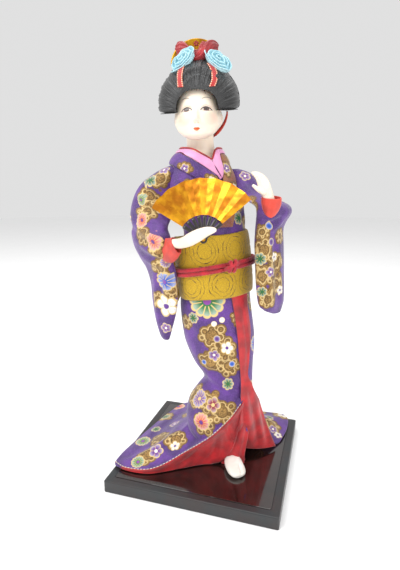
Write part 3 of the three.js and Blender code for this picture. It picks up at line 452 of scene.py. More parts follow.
def painted_skin():
    look, tint = skin()
    at = look.place()
    back = HEAD_AXES.inverted()
    x, y, z = (
        Value(look, look.node("ShaderNodeVectorMath", at, tuple(back[k][:3]), operation="DOT_PRODUCT").outputs["Value"])
        + back[k][3]
        for k in range(3)
    )
    ahead = y.ramp(-8, -12)
    across = abs(x - EYES["x"])
    blush = ((across - 8.5) ** 2 * 0.03 + (z + 6.5) ** 2 * 0.045).ramp(1, 0)
    tint = look.mix(blush * ahead * 0.35, tint, colour("e79a86"))
    # Painted shade: a darker, warmer tone over the recessed eye sockets
    socket = ((across - EYES["apart"]) ** 2 * 0.05 + (z - EYES["z"] - 1.6) ** 2 * 0.2).ramp(1, 0)
    tint = look.mix(socket * ahead * 0.22, tint, colour("c98a70"))
    u = across - EYES["apart"]
    lid = (u / EYES["half"]) ** 2
    upper = z - EYES["z"] - (lid * -1 + 1) * EYES["tall"] + u * 0.04
    lower = z - EYES["z"] + (lid * -1 + 1) * EYES["low"] + u * 0.04
    opening = upper.ramp(0.1, -0.1) * lower.ramp(-0.1, 0.1) * lid.ramp(1, 0.9) * ahead
    iris = (u**2 + (z - EYES["z"] - 0.45) ** 2).ramp(EYES["iris"] ** 2 + 0.3, EYES["iris"] ** 2 - 0.3)
    pupil = (u**2 + (z - EYES["z"] - 0.5) ** 2).ramp(0.7, 0.3)
    eye = look.mix(iris, colour("d8cabb"), look.mix(pupil, colour("4a2114"), colour("120807")))
    tint = look.mix(opening, tint, eye)
    lash = abs(upper - 0.05).ramp(0.5, 0.24) * lid.ramp(1.25, 1.02) * ahead
    tint = look.mix(lash, tint, colour("180d0a"))
    crease = abs(upper - 1.15).ramp(0.3, 0.05) * lid.ramp(1.0, 0.6) * ahead
    tint = look.mix(crease * 0.4, tint, colour("9a6a55"))
    under = abs(lower).ramp(0.28, 0.05) * lid.ramp(1.05, 0.8) * ahead
    tint = look.mix(under * 0.55, tint, colour("6b3a2a"))
    b = (across - BROWS["apart"]) / BROWS["half"]
    bend = (b**2 * -1 + 1) * BROWS["arch"] + b * 0.12
    brow = abs(z - BROWS["z"] - bend).ramp(BROWS["thick"], 0.08) * (b**2).ramp(1.1, 0.5) * ahead
    tint = look.mix(brow * 0.75, tint, colour("4b463d"))
    # Painted shadow at the nostrils under the tip of the nose, in a faint yellow-brown
    nostril_shadow = ((across - 1.1) ** 2 + (z + 8.9) ** 2 * 3).ramp(0.9, 0.1) * ahead
    tint = look.mix(nostril_shadow * 0.35, tint, colour("b98f58"))
    m = abs(x - LIPS["x"]) / LIPS["half"]
    h = z - LIPS["z"]
    top = (m**2 * -1 + 1) * LIPS["up"] - (m * 3.2).maths("COSINE").maths("MAXIMUM", 0) * 0.3
    lips = (h - top).ramp(0.12, -0.12) * (h + (m**2 * -1 + 1) * LIPS["down"]).ramp(-0.12, 0.12)
    lips = lips * m.ramp(1.02, 0.92) * ahead
    tint = look.mix(lips, tint, look.mix(abs(h + 0.05).ramp(0.3, 0.05) * 0.7, colour("e4672f"), colour("8c1f12")))
    rough = lips * -0.1 + opening * -0.22 + 0.36
    return look.finish(tint, rough, height=look.noise(at, 4), depth=0.03)


def hair_look():
    look = Look("hair", 0.38, Specular_IOR_Level=0.6, Sheen_Weight=0.15)
    across, along, _ = look.attribute("strand").parts()
    sheen_streak = look.noise(look.combine(across, along * 0.06, 0), 0.5, 3, 0.65)
    lock = look.noise(look.combine(across, along * 0.08, 3), 3.5, 1)
    # The grey in the streaks along the strands is painted sheen on the black hair
    tint = look.mix(sheen_streak.ramp(0.5, 0.78) * lock.ramp(0.35, 0.7), colour("0a0a0b"), colour("4b4e50"))
    rough = sheen_streak * 0.35 + 0.26
    return look.finish(tint, rough, height=sheen_streak + lock, depth=0.35)


def sash_look(name="sash"):
    """Yellow cloth with dashed brown arcs in staggered rows, from the mesh's place on the band."""
    look = Look(name, Sheen_Weight=0.2)
    u, v, shift = look.attribute("band").parts()
    pitch, tall = 23.5, 24.0
    row = (v / tall).maths("FLOOR")
    cell = u / pitch + row * 0.47 + shift
    x = (cell - cell.maths("FLOOR") - 0.5) * pitch
    y = (v / tall - row - 0.5) * tall
    wobble = look.noise(look.combine(u, v, 0), 7, 1) * 2.6 - 1.3
    r = (x * x + y * y * 0.9).maths("SQRT") + wobble
    w = y.maths("ARCTAN2", x)
    rings = abs(((r - 1.2) / 2.6).maths("FRACT") - 0.5).ramp(0.16, 0.06)
    dash = (w * 7 + (r / 2.6).maths("FLOOR") * 2.3).maths("SINE").ramp(-0.75, -0.35)
    broad = (look.noise(look.combine(u, v, 5), 9, 1)).ramp(0.42, 0.6)
    arcs = rings * dash * r.ramp(3.2, 4.4) * r.ramp(12.4, 11) * (broad * 0.55 + 0.45)
    grain = look.noise(look.combine(u, v * 2.5, 9), 0.9, 2, 0.7)
    tint = look.mix(grain.ramp(0.3, 0.7), colour("a37c0a"), colour("d9b414"))
    tint = look.mix(arcs * 0.9, tint, colour("3d2408"))
    rough = grain * 0.25 + 0.38
    return look.finish(tint, rough, metallic=arcs * -0.3 + 0.3, height=threads(look, 0.6) + grain * 2 + arcs, depth=0.12)


def gilt(name, base, deep, roughness=0.3, flecks=True):
    look = Look(name, roughness, 0.75, Specular_IOR_Level=0.5)
    patch = look.noise(look.place(), 6, 3)
    tint = look.mix(patch.ramp(0.35, 0.7), colour(deep), colour(base))
    if flecks:
        spot = look.noise(look.place((1, 1, 1.6)), 0.9, 1).ramp(0.72, 0.78)
        tint = look.mix(spot * 0.6, tint, colour("5a3206"))
    rough = look.noise(look.place(), 2.2, 2) * 0.2 + (roughness - 0.1)
    return look.finish(tint, rough, height=patch, depth=0.1)


def lacquer(name, base, roughness, coat):
    look = Look(name, roughness, Coat_Weight=coat, Coat_Roughness=0.04)
    cloudy = look.noise(look.place(), 16, 4)
    dust = look.noise(look.place(), 0.8, 1).ramp(0.74, 0.8)
    tint = look.mix(cloudy.ramp(0.3, 0.7) * 0.4, colour(base), colour("3a2622" if coat else "3a3f42"))
    tint = look.mix(dust * 0.25, tint, colour("8a8a88"))
    rough = cloudy * 0.12 + (roughness - 0.06)
    return look.finish(tint, rough, height=cloudy, depth=0.02)


def strip_look():
    """A red strip with pale dotted edges, from its place across it."""
    look = Look("hair_strip", 0.5, Sheen_Weight=0.3)
    u, v, _ = look.attribute("band").parts()
    edge = abs(u).ramp(0.55, 0.72)
    dots = (v * 5.5).maths("SINE").ramp(-0.6, 0.4)
    tint = look.mix(edge, colour("b01210"), look.mix(dots, colour("d9542f"), colour("f3c9a8")))
    return look.finish(tint, height=threads(look, 0.5) + edge, depth=0.12)


# Flowers and clouds of the brocade: petals, colour, colour of the core
FLOWERS = {
    "green": (12, "1d7a34", "8a3f9c"),
    "red": (12, "d5463a", "5b2a86"),
    "blue": (10, "1556c0", "7a3f9c"),
    "violet": (12, "6a2f9a", "d9bd7c"),
    "white": (5, "efe9dd", "5b2a86"),
    "plum": (5, "6f2f92", "efe9dd"),
    "rose": (5, "8c1c3c", "d9bd7c"),
    "leaf": (7, "15602c", "15602c"),
    "dot": (0, "efe9dd", "efe9dd"),
    "violet dot": (0, "5b2a86", "5b2a86"),
    "blue dot": (0, "1556c0", "1556c0"),
}
CYCLE = ["green", "plum", "white", "red", "violet", "white", "blue", "leaf", "plum", "red", "white", "rose"]
LOBES = 7
CLOUD = {"spread": 0.85, "lobe": 0.62}


def strewn(sheet, seen, clouds, spacing, seed, size=(5.5, 8)):
    """Data for a brocade: flowers seen in the photograph, and others strewn where it shows none.

    seen holds (pixel x, pixel y, radius, kind) and clouds holds (pixel x, pixel y, radius).
    """
    rng = np.random.default_rng(seed)
    tree = sheet.tree()
    points = sheet.points.reshape(-1, 3)
    normals = sheet.normals().reshape(-1, 3)
    centres, kinds, puffs = [], [], []

    def lay(at, normal, radius, kind):
        side = np.cross(normal, [0, 0, 1])
        side = side / max(np.linalg.norm(side), 1e-6)
        centres.append((at, normal, side, np.cross(normal, side), radius))
        kinds.append(kind)

    def puff(at, normal, radius, turn):
        side = np.cross(normal, [0, 0, 1])
        side = side / max(np.linalg.norm(side), 1e-6)
        up = np.cross(normal, side)
        puffs.append((at, radius * 0.8))
        for k in range(LOBES):
            w = 2 * math.pi * k / LOBES + turn
            away = radius * CLOUD["spread"] * (1 + 0.18 * math.sin(3 * k + turn))
            puffs.append((at + away * (side * math.cos(w) + up * math.sin(w) * 0.85), radius * CLOUD["lobe"] * 0.75))

    for x, y, radius, kind in seen:
        at, normal, _, _ = tree.ray_cast(Vector(EYE), Vector(sight(x, y)))
        if at is not None:
            lay(np.array(at), np.array(normal), radius, kind)
    for x, y, radius in clouds:
        at, normal, _, _ = tree.ray_cast(Vector(EYE), Vector(sight(x, y)))
        if at is not None:
            puff(np.array(at), np.array(normal), radius, x)
    marked = [c[0] for c in centres] + [p[0] for p in puffs]
    towards = (EYE - points) * normals
    hidden = np.flatnonzero(towards.sum(1) < 0) if seen or clouds else np.arange(len(points))
    for place in rng.permutation(hidden):
        at = points[place]
        if marked and min(np.linalg.norm(np.array(marked) - at, axis=1)) < spacing:
            continue
        marked.append(at)
        kind = CYCLE[len(marked) % len(CYCLE)]
        radius = rng.uniform(*size) * (0.72 if FLOWERS[kind][0] < 8 else 1)
        lay(at, normals[place], radius, kind)
        if len(marked) % 3:
            puff(at + normals[place] * 0.5, normals[place], radius * 1.5, rng.uniform(0, 6))
    cloud = np.full(len(points), 9.0)
    for at, radius in puffs:
        cloud = np.minimum(cloud, np.linalg.norm(points - at, axis=1) - radius)
    faces = sheet.faces()
    middle = points[faces].mean(1)
    away = np.stack([np.linalg.norm(middle - c[0], axis=1) / c[4] for c in centres])
    away += 9 * (np.stack([normals[faces[:, 0]] @ c[1] for c in centres]) < 0.1)
    own = away.argmin(0)
    blank = away.min(0) > 1.4
    corners = points[faces]
    at, side, up, radius = (np.array([c[k] for c in centres])[own] for k in (0, 2, 3, 4))
    local = [((corners - at[:, None]) * axis[:, None]).sum(2) / radius[:, None] for axis in (side, up)]
    for values in local:
        values[blank] = 5
    motif = np.stack([*local, cloud[faces]], -1)
    kind = [FLOWERS[k] for k in kinds]
    petals = np.array([(max(n, 1), min(0.36, 1.9 / n) if n else 0, 1 if n else 0) for n, _, _ in kind])[own]
    tints = [np.array([colour(k[j])[:3] for k in kind])[own] for j in (1, 2)]
    return [
        ("motif", "FLOAT_VECTOR", "CORNER", motif),
        ("petals", "FLOAT_VECTOR", "FACE", petals),
        ("petal", "FLOAT_VECTOR", "FACE", tints[0]),
        ("core", "FLOAT_VECTOR", "FACE", tints[1]),
    ]


# Stand
STAND = {"side": 125, "height": 9.2, "bevel": 0.8, "inset": 6.2, "panel": 0.22}


def square(inset, z, rounding=1.2):
    """A square loop of the stand with small rounded corners."""
    half = STAND["side"] / 2 - inset
    corner = min(rounding, half)
    arcs = []
    for k, (sx, sy) in enumerate([(1, 1), (-1, 1), (-1, -1), (1, -1)]):
        w = np.radians(np.linspace(0, 90, 5) + 90 * k)
        arcs.append(np.stack([sx * (half - corner) + corner * np.cos(w), sy * (half - corner) + corner * np.sin(w)], -1))
    loop = np.concatenate(arcs)
    return np.column_stack([loop, np.full(len(loop), z)])


def stand():
    high, bevel, inset, panel = (STAND[k] for k in ("height", "bevel", "inset", "panel"))
    body = Sheet([square(0.4, 0), square(0, 0.4), square(0, high - bevel), square(bevel / 3, high - bevel / 3),
                  square(bevel, high), square(inset - 0.5, high), square(inset - 0.3, high - 0.35),
                  square(inset, high - 0.35)], wrap=True)
    points, faces = joined([body])
    border = lacquer("border", "24282a", 0.42, 0.15)
    mesh("stand_fine", points, faces, border, ["stand"], flat=True)
    top = Sheet([square(inset + 0.3, high - 0.35), square(inset, high - 0.3), square(inset, high + panel / 2),
                 square(inset + 0.3, high + panel)], wrap=True)
    points, faces = joined([top])
    mesh("stand_panel", points, faces, lacquer("lacquer", "140b09", 0.16, 1.0), flat=True)


# Skirt
COLUMN = [
    [26, 7, -5, 17, 15, 0],
    [29, 8, -6.5, 22, 19.5, 0],
    [34, 8.5, -7, 24.2, 21, 0],
    [43, 8, -7, 25.2, 21.5, 0],
    [56, 9, -6, 24.3, 20.5, 0],
    [66, 12, -4.5, 21.2, 18.6, 2],
    [75, 14.3, -3, 18.2, 17, 8],
    [86, 10.3, -2, 22, 18, 14],
    [97, 7.8, -1, 25, 19, 18],
    [107, 6, 0, 26.6, 19.5, 22],
    [128, 3.2, 0.5, 26.6, 19.2, 28],
    [141, 2.8, 0.8, 25.8, 18.4, 34],
    [156, 2, 1, 23, 17, 38],
]
# The hem round the back, counterclockwise from the doll's left: x y z
HEM = [
    [50, 16.5, 12],
    [53.6, 25, 12],
    [56.2, 41, 12.5],
    [55.6, 54.5, 13.5],
    [50, 61, 13.5],
    [38, 61.8, 13],
    [19, 61.6, 12.5],
    [-2, 61.6, 12.5],
    [-24, 61, 12.5],
    [-40.6, 57.4, 12.5],
    [-49.4, 38, 12.5],
    [-56.2, 8, 12.5],
    [-60.8, -19, 12.2],
]
# The lining below the lifted edge, from the left tip to the knee: foot and edge
LINING = [
    [-62, -43.6, 10.2, -62.4, -43.8, 12.4],
    [-53, -47.6, 10.2, -52.4, -48.2, 12.6],
    [-37, -47.4, 10.2, -36, -47.6, 13.6],
    [-25.3, -41.6, 10.2, -24.6, -43.6, 17],
    [-12.8, -33.2, 10.2, -9.8, -35, 25],
    [-2.1, -26.2, 10.2, 2, -31.5, 33],
    [6, -22.2, 10.2, 10, -30.4, 40],
    [13.6, -19.5, 12, 17, -28.6, 47.5],
    [19.5, -19.4, 19, 22.4, -26.6, 54],
    [23.5, -19.8, 28, 26, -24.6, 59.5],
    [27, -20.4, 42, 29.6, -21.6, 65],
]
# The edge of the skirt where the front band hides it
BEHIND_BAND = [[28.5, -14, 46], [28, -11, 36], [31, -6, 31], [35, 0, 27], [40, 7.5, 20]]
AXIS = (8.0, 4.0)
TRAIN = {"peak": 53.5, "hollow": 1.7}
SKIRT_GRID = (190, 320)
SKIRT_FOLDS = [
    ([(250, 396), (238, 392), (222, 384), (207, 374)], 3.0, 1.3),
    ([(250, 385), (236, 379), (222, 371), (206, 363)], 3.2, 1.1),
    ([(246, 404), (232, 402), (214, 396), (198, 386)], 3.2, 1.2),
    ([(240, 408), (222, 411), (204, 407), (190, 400)], 3.2, 0.9),
    ([(232, 417), (214, 421), (199, 421), (188, 414)], 3.0, 0.8),
    ([(236, 340), (229, 352), (218, 362), (205, 368)], 3.0, 0.8),
    ([(234, 322), (224, 338), (208, 352), (196, 357)], 3.4, 0.7),
    ([(190, 305), (197, 322), (208, 340), (222, 352)], 4.0, 0.5),
    ([(183, 420), (170, 436), (152, 450), (128, 462)], 4.0, 1.0),
    ([(182, 408), (166, 420), (146, 437), (126, 453)], 3.6, 0.8),
    ([(194, 440), (178, 448), (160, 457), (140, 466)], 2.8, 0.6),
    ([(268, 419), (274, 427), (280, 436)], 2.6, 0.6),
]


def skirt_profile():
    """The skirt's sheet: down the wrapped column, over the train and round the hem."""
    edge = HEM + [row[3:] for row in LINING] + BEHIND_BAND
    loop = smooth([edge[-1]] + edge + edge[:2], 10)[10:-10]
    turn = np.unwrap(np.arctan2(loop[:, 1] - AXIS[1], loop[:, 0] - AXIS[0]))
    out = np.hypot(loop[:, 0] - AXIS[0], loop[:, 1] - AXIS[1])
    rows, cols = SKIRT_GRID
    angle = turn[0] + np.linspace(0, 2 * math.pi, cols, endpoint=False)
    order = np.argsort(turn)
    radius = np.interp(angle, turn[order], out[order])
    rim = np.interp(angle, turn[order], loop[order, 2])
    points = []
    for w, r, z in zip(angle, radius, rim):
        share = np.linspace(0, 1, 120)
        high = z + (TRAIN["peak"] - z) * (1 - share) ** TRAIN["hollow"]
        wall = reach(COLUMN, AXIS, w, high)
        start = int(np.argmax(share * r >= wall)) if (share * r >= wall).any() else len(share) - 1
        level = np.linspace(156, max(high[start], z), 90)
        profile = np.concatenate([
            np.stack([reach(COLUMN, AXIS, w, level), level], -1),
            np.stack([share[start:] * r, high[start:]], -1)[1:] if start < 119 else np.array([[r, z]]),
        ])
        run = np.concatenate([[0], np.cumsum(np.linalg.norm(np.diff(profile, axis=0), axis=1))])
        even = np.linspace(0, run[-1], rows)
        line = np.stack([np.interp(even, run, profile[:, k]) for k in (0, 1)], -1)
        for _ in range(4):
            line[1:-1] = (line[:-2] + 2 * line[1:-1] + line[2:]) / 4
        drop = min(z - FLOOR - 0.1, 1.8)
        roll = [[0.5, -0.35], [0.45, -0.7], [-0.4, -1], [-2.5, -1], [-6, -1]]
        line = np.concatenate([line, [[r + a, z + b * drop] for a, b in roll]])
        points.append(np.stack([AXIS[0] + line[:, 0] * math.cos(w), AXIS[1] + line[:, 0] * math.sin(w), line[:, 1]], -1))
    return Sheet(np.stack(points, 1), wrap=True)


SKIRT_FLOWERS = [
    (207, 301, 12, "green"), (214, 324, 2, "dot"), (217, 339, 2.4, "violet dot"), (227, 348, 4.6, "white"),
    (214, 355, 4.4, "plum"), (204, 362, 2, "blue dot"), (232, 364, 2.2, "blue dot"), (199.5, 398.6, 6.5, "violet"),
    (213, 405, 5.4, "rose"), (201, 422.6, 6.5, "red"), (174.6, 424, 4.4, "plum"), (156, 429, 4, "leaf"),
    (143, 441, 6, "green"), (175, 446, 4, "white"), (156, 451, 5.4, "plum"), (138, 462, 5, "green"),
    (269, 417, 4, "leaf"), (273, 429, 4, "plum"), (278, 435, 3.4, "white"), (193, 318, 4, "leaf"),
    (228, 384, 4, "leaf"), (222, 320, 2, "dot"), (190, 460, 3.6, "leaf"), (216, 440, 3.4, "plum"),
]
SKIRT_CLOUDS = [
    (212, 336, 8.5), (224, 350, 8.5), (210, 362, 8.5), (229, 366, 7), (196, 395, 8), (209, 402, 8), (222, 412, 8),
    (203, 424, 8), (160, 438, 7.5), (176, 440, 7.5), (147, 455, 7.5), (272, 424, 7), (238, 318, 5), (186, 322, 5),
]


def skirt():
    sheet = skirt_profile().fold(SKIRT_FOLDS)
    points, faces = joined([sheet], caps=False)
    data = strewn(sheet, SKIRT_FLOWERS, SKIRT_CLOUDS, 19, 11)
    mesh("kimono_skirt_fine", points, faces, BROCADE, ["kimono_skirt"], data)


def selvedge():
    """White stitches along the lifted edge of the skirt."""
    edge = smooth([row[3:] for row in LINING], 24)
    run = np.concatenate([[0], np.cumsum(np.linalg.norm(np.diff(edge, axis=0), axis=1))])
    stitches = []
    for start in np.arange(1, run[-1] - 2, 2.5):
        at = np.array([[np.interp(s, run, edge[:, k]) for k in range(3)] for s in (start, start + 0.75, start + 1.5)])
        at += np.array([0, -0.75, 0.55]) + 0.1 * np.array([[0], [1], [0]])
        stitches.append(tube([[*p, 0.3, 0.25] for p in at], sides=6, steps=2))
    points, faces = joined(stitches)
    look = satin("stitch", "e8dfd0", "cfc3ae", 0.6)
    mesh("selvedge_stitches", points, faces, look)


def spread(rows, across, bow):
    """A sheet between left and right points of each row, bowed by a share of its width."""
    rows = np.array(rows, float)
    left, right = rows[:, None, :3], rows[:, None, 3:]
    t = np.linspace(0, 1, across)[None, :, None]
    p = left + (right - left) * t
    width = np.linalg.norm(right - left, axis=2, keepdims=True)
    return p + np.array([0, 1, 0]) * bow * width * np.sin(math.pi * t)


LINING_FOLDS = [
    ([(228, 424), (231, 440), (228, 456)], 1.6, 0.8),
    ([(216, 436), (214, 450), (204, 462)], 2.0, 0.6),
    ([(238, 414), (240, 430)], 1.4, 0.7),
    ([(196, 450), (188, 458), (176, 466)], 2.0, 0.4),
]


def lining():
    sheet = Sheet(spread(smooth([[*row[3:], *row[:3]] for row in LINING], 24), 30, 0.1)).fold(LINING_FOLDS)
    points, faces = joined([sheet])
    piece = mesh("hem_lining_fine", points, faces, RED, ["hem_lining"])
    thicken(piece, 1.0, 1)


BAND_TOP = [[142.5, 17, 26], [129, 19.8, 27.4], [111, 22.8, 30.2], [93, 25, 30.6], [80, 26.4, 30.6]]
BAND_FLARE = [
    [27.6, -20.8, 70, 34.2, -12, 72],
    [28.6, -21.4, 61, 38.6, -8, 61],
    [26.8, -20, 46, 41.6, -3, 48],
    [24.2, -11, 27, 45.2, 3, 32],
    [23.2, -4, 16.5, 50.4, 12, 12],
]
BAND_FOLDS = [
    ([(240, 300), (245, 330), (247, 356), (246, 384)], 1.5, 0.35),
    ([(248, 392), (253, 410), (256, 428), (258, 444)], 2.2, 1.0),
    ([(252, 384), (259, 404), (264, 424), (268, 444)], 2.0, 0.7),
    ([(243, 396), (243, 412), (244, 430), (246, 444)], 1.8, 0.8),
]


def front_band():
    upper = []
    for z, left, right in BAND_TOP:
        y = front(COLUMN, np.array([left, right]), z, 0.7)
        upper.append([left, y[0] - 0.5, z, right, y[1] - 0.5, z])
    rows = smooth(upper + BAND_FLARE, 20)
    grid = spread(rows, 40, 0.0)
    low = step(rows[:, 2], 82, 66)[:, None]
    across = np.linspace(0, 1, 40)[None]
    width = np.linalg.norm(rows[:, 3:] - rows[:, :3], axis=1)[:, None]
    round_front = front(COLUMN, grid[..., 0], grid[..., 2], 0.7) - 0.5
    bowed = grid[..., 1] - 0.1 * width * np.sin(math.pi * across)
    grid[..., 1] = round_front * (1 - low) + bowed * low
    sheet = Sheet(grid[:, ::-1]).fold(BAND_FOLDS)
    points, faces = joined([sheet])
    piece = mesh("front_band_fine", points, faces, RED, ["front_band"])
    thicken(piece, 1.0, 0)


def underskirt():
    rows = [
        [FLOOR + 0.3, 20.6, -13, 9.6, 7.4, 14],
        [15, 20.8, -12.6, 9, 7, 14],
        [30, 23, -11.4, 9, 7, 14],
        [46, 26.4, -10.4, 7, 6.4, 10],
    ]
    sheet = lofted(rows, 120, 16)
    w = np.linspace(0, 2 * math.pi, 120, endpoint=False)
    sheet.push(0.5 * np.sin(9 * w + 0.8 * np.sin(3 * w))[None] * np.ones((49, 1)))
    points, faces = joined([sheet])
    mesh("underskirt_fine", points, faces, RED, ["underskirt"])


# Body
BODICE = [
    [156.6, 1.6, 1, 23, 17.2, 40],
    [174, 1.3, 1, 23, 17.4, 40],
    [185, 1.4, 0.8, 23, 17.4, 40],
    [200, -1.8, 1, 25.6, 17.8, 40],
    [211, -5, 1.2, 26.8, 17.2, 40],
    [218, -7, 1.2, 25.6, 17.2, 39],
    [224, -8.4, 1, 23, 16.8, 37],
    [230.5, -9.6, 1, 19.7, 16, 32],
]
SHOULDERS = BODICE + [[235, -9.6, 0.8, 17.1, 14.8, 28], [238, -9.3, 1.2, 14.9, 13.4, 24], [241.5, -9, 1.6, 12.6, 12, 16]]
BODICE_FOLDS = [
    ([(246, 178), (243, 196), (241, 212), (244, 226)], 2.2, 0.8),
    ([(182, 172), (186, 190), (196, 210), (206, 226)], 3.0, 0.8),
    ([(178, 180), (184, 204), (192, 222)], 2.6, 0.7),
    ([(236, 190), (232, 206), (236, 222)], 2.4, 0.5),
]
BODICE_FLOWERS = [(239, 218, 4.5, "leaf"), (242, 179, 4, "plum"), (188, 205, 4.6, "red"), (232, 203, 3.4, "white")]
BODICE_CLOUDS = [(240, 200, 6.5), (190, 190, 6), (245, 222, 5)]


def bodice():
    sheet = lofted(BODICE, 200, 16).fold(BODICE_FOLDS)
    points, faces = joined([sheet])
    data = strewn(sheet, BODICE_FLOWERS, BODICE_CLOUDS, 16, 4)
    caps = np.zeros((len(faces) - len(data[1][3]), 3))
    data = [data[0], *[(*d[:3], np.concatenate([d[3], caps])) for d in data[1:]]]
    corners = sum(len(f) for f in faces[-2:])
    data[0] = (*data[0][:3], np.concatenate([data[0][3].reshape(-1, 3), np.full((corners, 3), 5.0)]))
    mesh("kimono_bodice_fine", points, faces, BROCADE, ["kimono_bodice"], data)


# Collars: rows [angle, z] of the edge at the neck and [angle, z] of the outer edge
COLLARS = {
    "collar_edge": [
        [-46, 233, -46, 232], [-66, 236.4, -66, 235.3], [-93, 239.8, -93, 238.7], [-128, 241, -128, 240],
        [-175, 241.2, -175, 240.1], [-227, 241, -227, 239.9], [-280, 241.1, -280, 240],
        [-330, 241.1, -330, 240.1], [-372, 240.9, -372, 239.9], [-387, 240, -389, 238.4],
        [-397, 236.8, -397, 235.4], [-402.5, 233.6, -402.5, 232.3],
    ],
    "collar_inner_right": [
        [-227, 239.4, -227, 235.6], [-175, 239.6, -175, 236.8], [-128, 239.6, -126, 237.4],
        [-111, 239.4, -106, 235.2], [-93, 238.3, -90, 232.9], [-66, 234.9, -65, 228],
        [-46, 231.6, -43, 223.3], [-39, 226.6, -34, 221], [-30, 220.6, -28.6, 219.8],
    ],
    "collar_inner_left": [
        [132, 239.4, 132, 235.6], [80, 239.6, 80, 236], [30, 239.7, 30, 236.4], [-12, 239.5, -6, 237],
        [-29.4, 238.1, -20, 235.6], [-43.5, 231.6, -19, 228.4], [-35.6, 226, -21, 224.4],
        [-27.6, 220.8, -26, 220.6],
    ],
    "collar_outer_right": [
        [-227, 235.2, -229, 228], [-175, 236.4, -178, 229.4], [-132, 237, -140, 229.4],
        [-107, 234.8, -116, 226.6], [-90, 232.5, -98, 223.6], [-65, 227.6, -71, 217.6],
        [-43, 222.9, -50, 211], [-36, 220.4, -42, 209],
    ],
    "collar_outer_left": [
        [132, 235.2, 132, 228], [80, 235.6, 80, 229], [30, 236, 30, 230], [-5, 236.6, 10, 230],
        [-19, 235.2, 9, 227.4], [-18, 228, 8, 221.6], [-25.5, 219.6, 1, 213], [-29, 211.6, -5, 208],
        [-34, 204, -11, 201], [-38, 196, -17, 194], [-42, 187.6, -22, 187.6],
    ],
}
COLLAR_CLOTH = {"lift": 0.7, "thick": 1.0, "across": 22, "steps": 14}


def collar(node, look, puff, seed=0):
    """A band on the shoulders with rounded edges, and flowers where it is woven."""
    rows = smooth(COLLARS[node], COLLAR_CLOTH["steps"])
    t = np.linspace(0, 1, COLLAR_CLOTH["across"])[None]
    angle = np.radians(rows[:, :1] + (rows[:, 2:3] - rows[:, :1]) * t)
    z = rows[:, 1:2] + (rows[:, 3:] - rows[:, 1:2]) * t
    rise = COLLAR_CLOTH["thick"] + puff * np.sin(math.pi * t) ** 0.6
    r = reach(SHOULDERS, NECK, angle, z) + COLLAR_CLOTH["lift"] + rise
    grid = np.stack([NECK[0] + r * np.cos(angle), NECK[1] + r * np.sin(angle), z], -1)
    if rows[-1, 0] > rows[0, 0]:
        grid = grid[::-1]
    sheet = Sheet(grid[:, ::-1])
    points, faces = joined([sheet])
    data = strewn(sheet, [], [], 13, seed, (3.6, 5.2)) if seed else ()
    piece = mesh(f"{node}_fine", points, faces, look, [node], data)
    thicken(piece, COLLAR_CLOTH["thick"] + puff)


# Sleeves: rows [z, x, y, a, b, turn]
SLEEVE_RIGHT = [
    [103.2, -31, -15, 2.4, 2.2, -25], [107, -31.2, -16, 4.4, 3.4, -25], [118, -31.2, -17, 8.2, 4.6, -25],
    [132, -30.6, -18, 12, 5.6, -28], [146, -30.4, -19.5, 13, 6.2, -30], [157, -32, -20.5, 13.2, 7, -34, 2.8],
    [165, -35.2, -21.5, 15.8, 7.6, -36, 2.8], [173, -37.9, -22, 18.6, 8, -37, 2.8],
    [181, -38.9, -21.6, 20, 8.4, -37, 2.8], [187, -40.7, -18.6, 18.7, 8.8, -34], [193, -41.6, -14.6, 17, 10.4, -18],
    [209, -38.5, -10, 15.3, 11.2, 16], [217, -34.5, -9.6, 13.5, 11, 28], [223, -30, -9, 10, 9.8, 34],
    [226.6, -27, -8, 7, 7.6, 36], [229, -24.9, -7, 3.4, 4.6, 38],
]
SLEEVE_LEFT = [
    [126, 47.4, 3, 5.4, 2.6, 70], [130, 45.2, 2, 12, 5, 70], [138, 43.8, 1, 15.6, 6.8, 70],
    [172, 41.6, 0.6, 15.8, 7.6, 70], [184, 41, 1, 15.2, 7.6, 70], [190, 41.8, 1.6, 15.2, 8.2, 68],
    [197, 43.6, 2.6, 15.4, 10.2, 64], [201.6, 42, 4, 14.8, 10, 60], [205.6, 35, 6, 13.8, 9.8, 54],
    [210, 27.4, 9.4, 12.6, 9.6, 46], [216, 22.6, 12, 11.6, 9.4, 40], [221, 19, 13.4, 10, 8.6, 36],
    [224.6, 15.6, 13.4, 7.4, 7, 34], [226.8, 12.8, 12.6, 3.4, 4.4, 32],
]
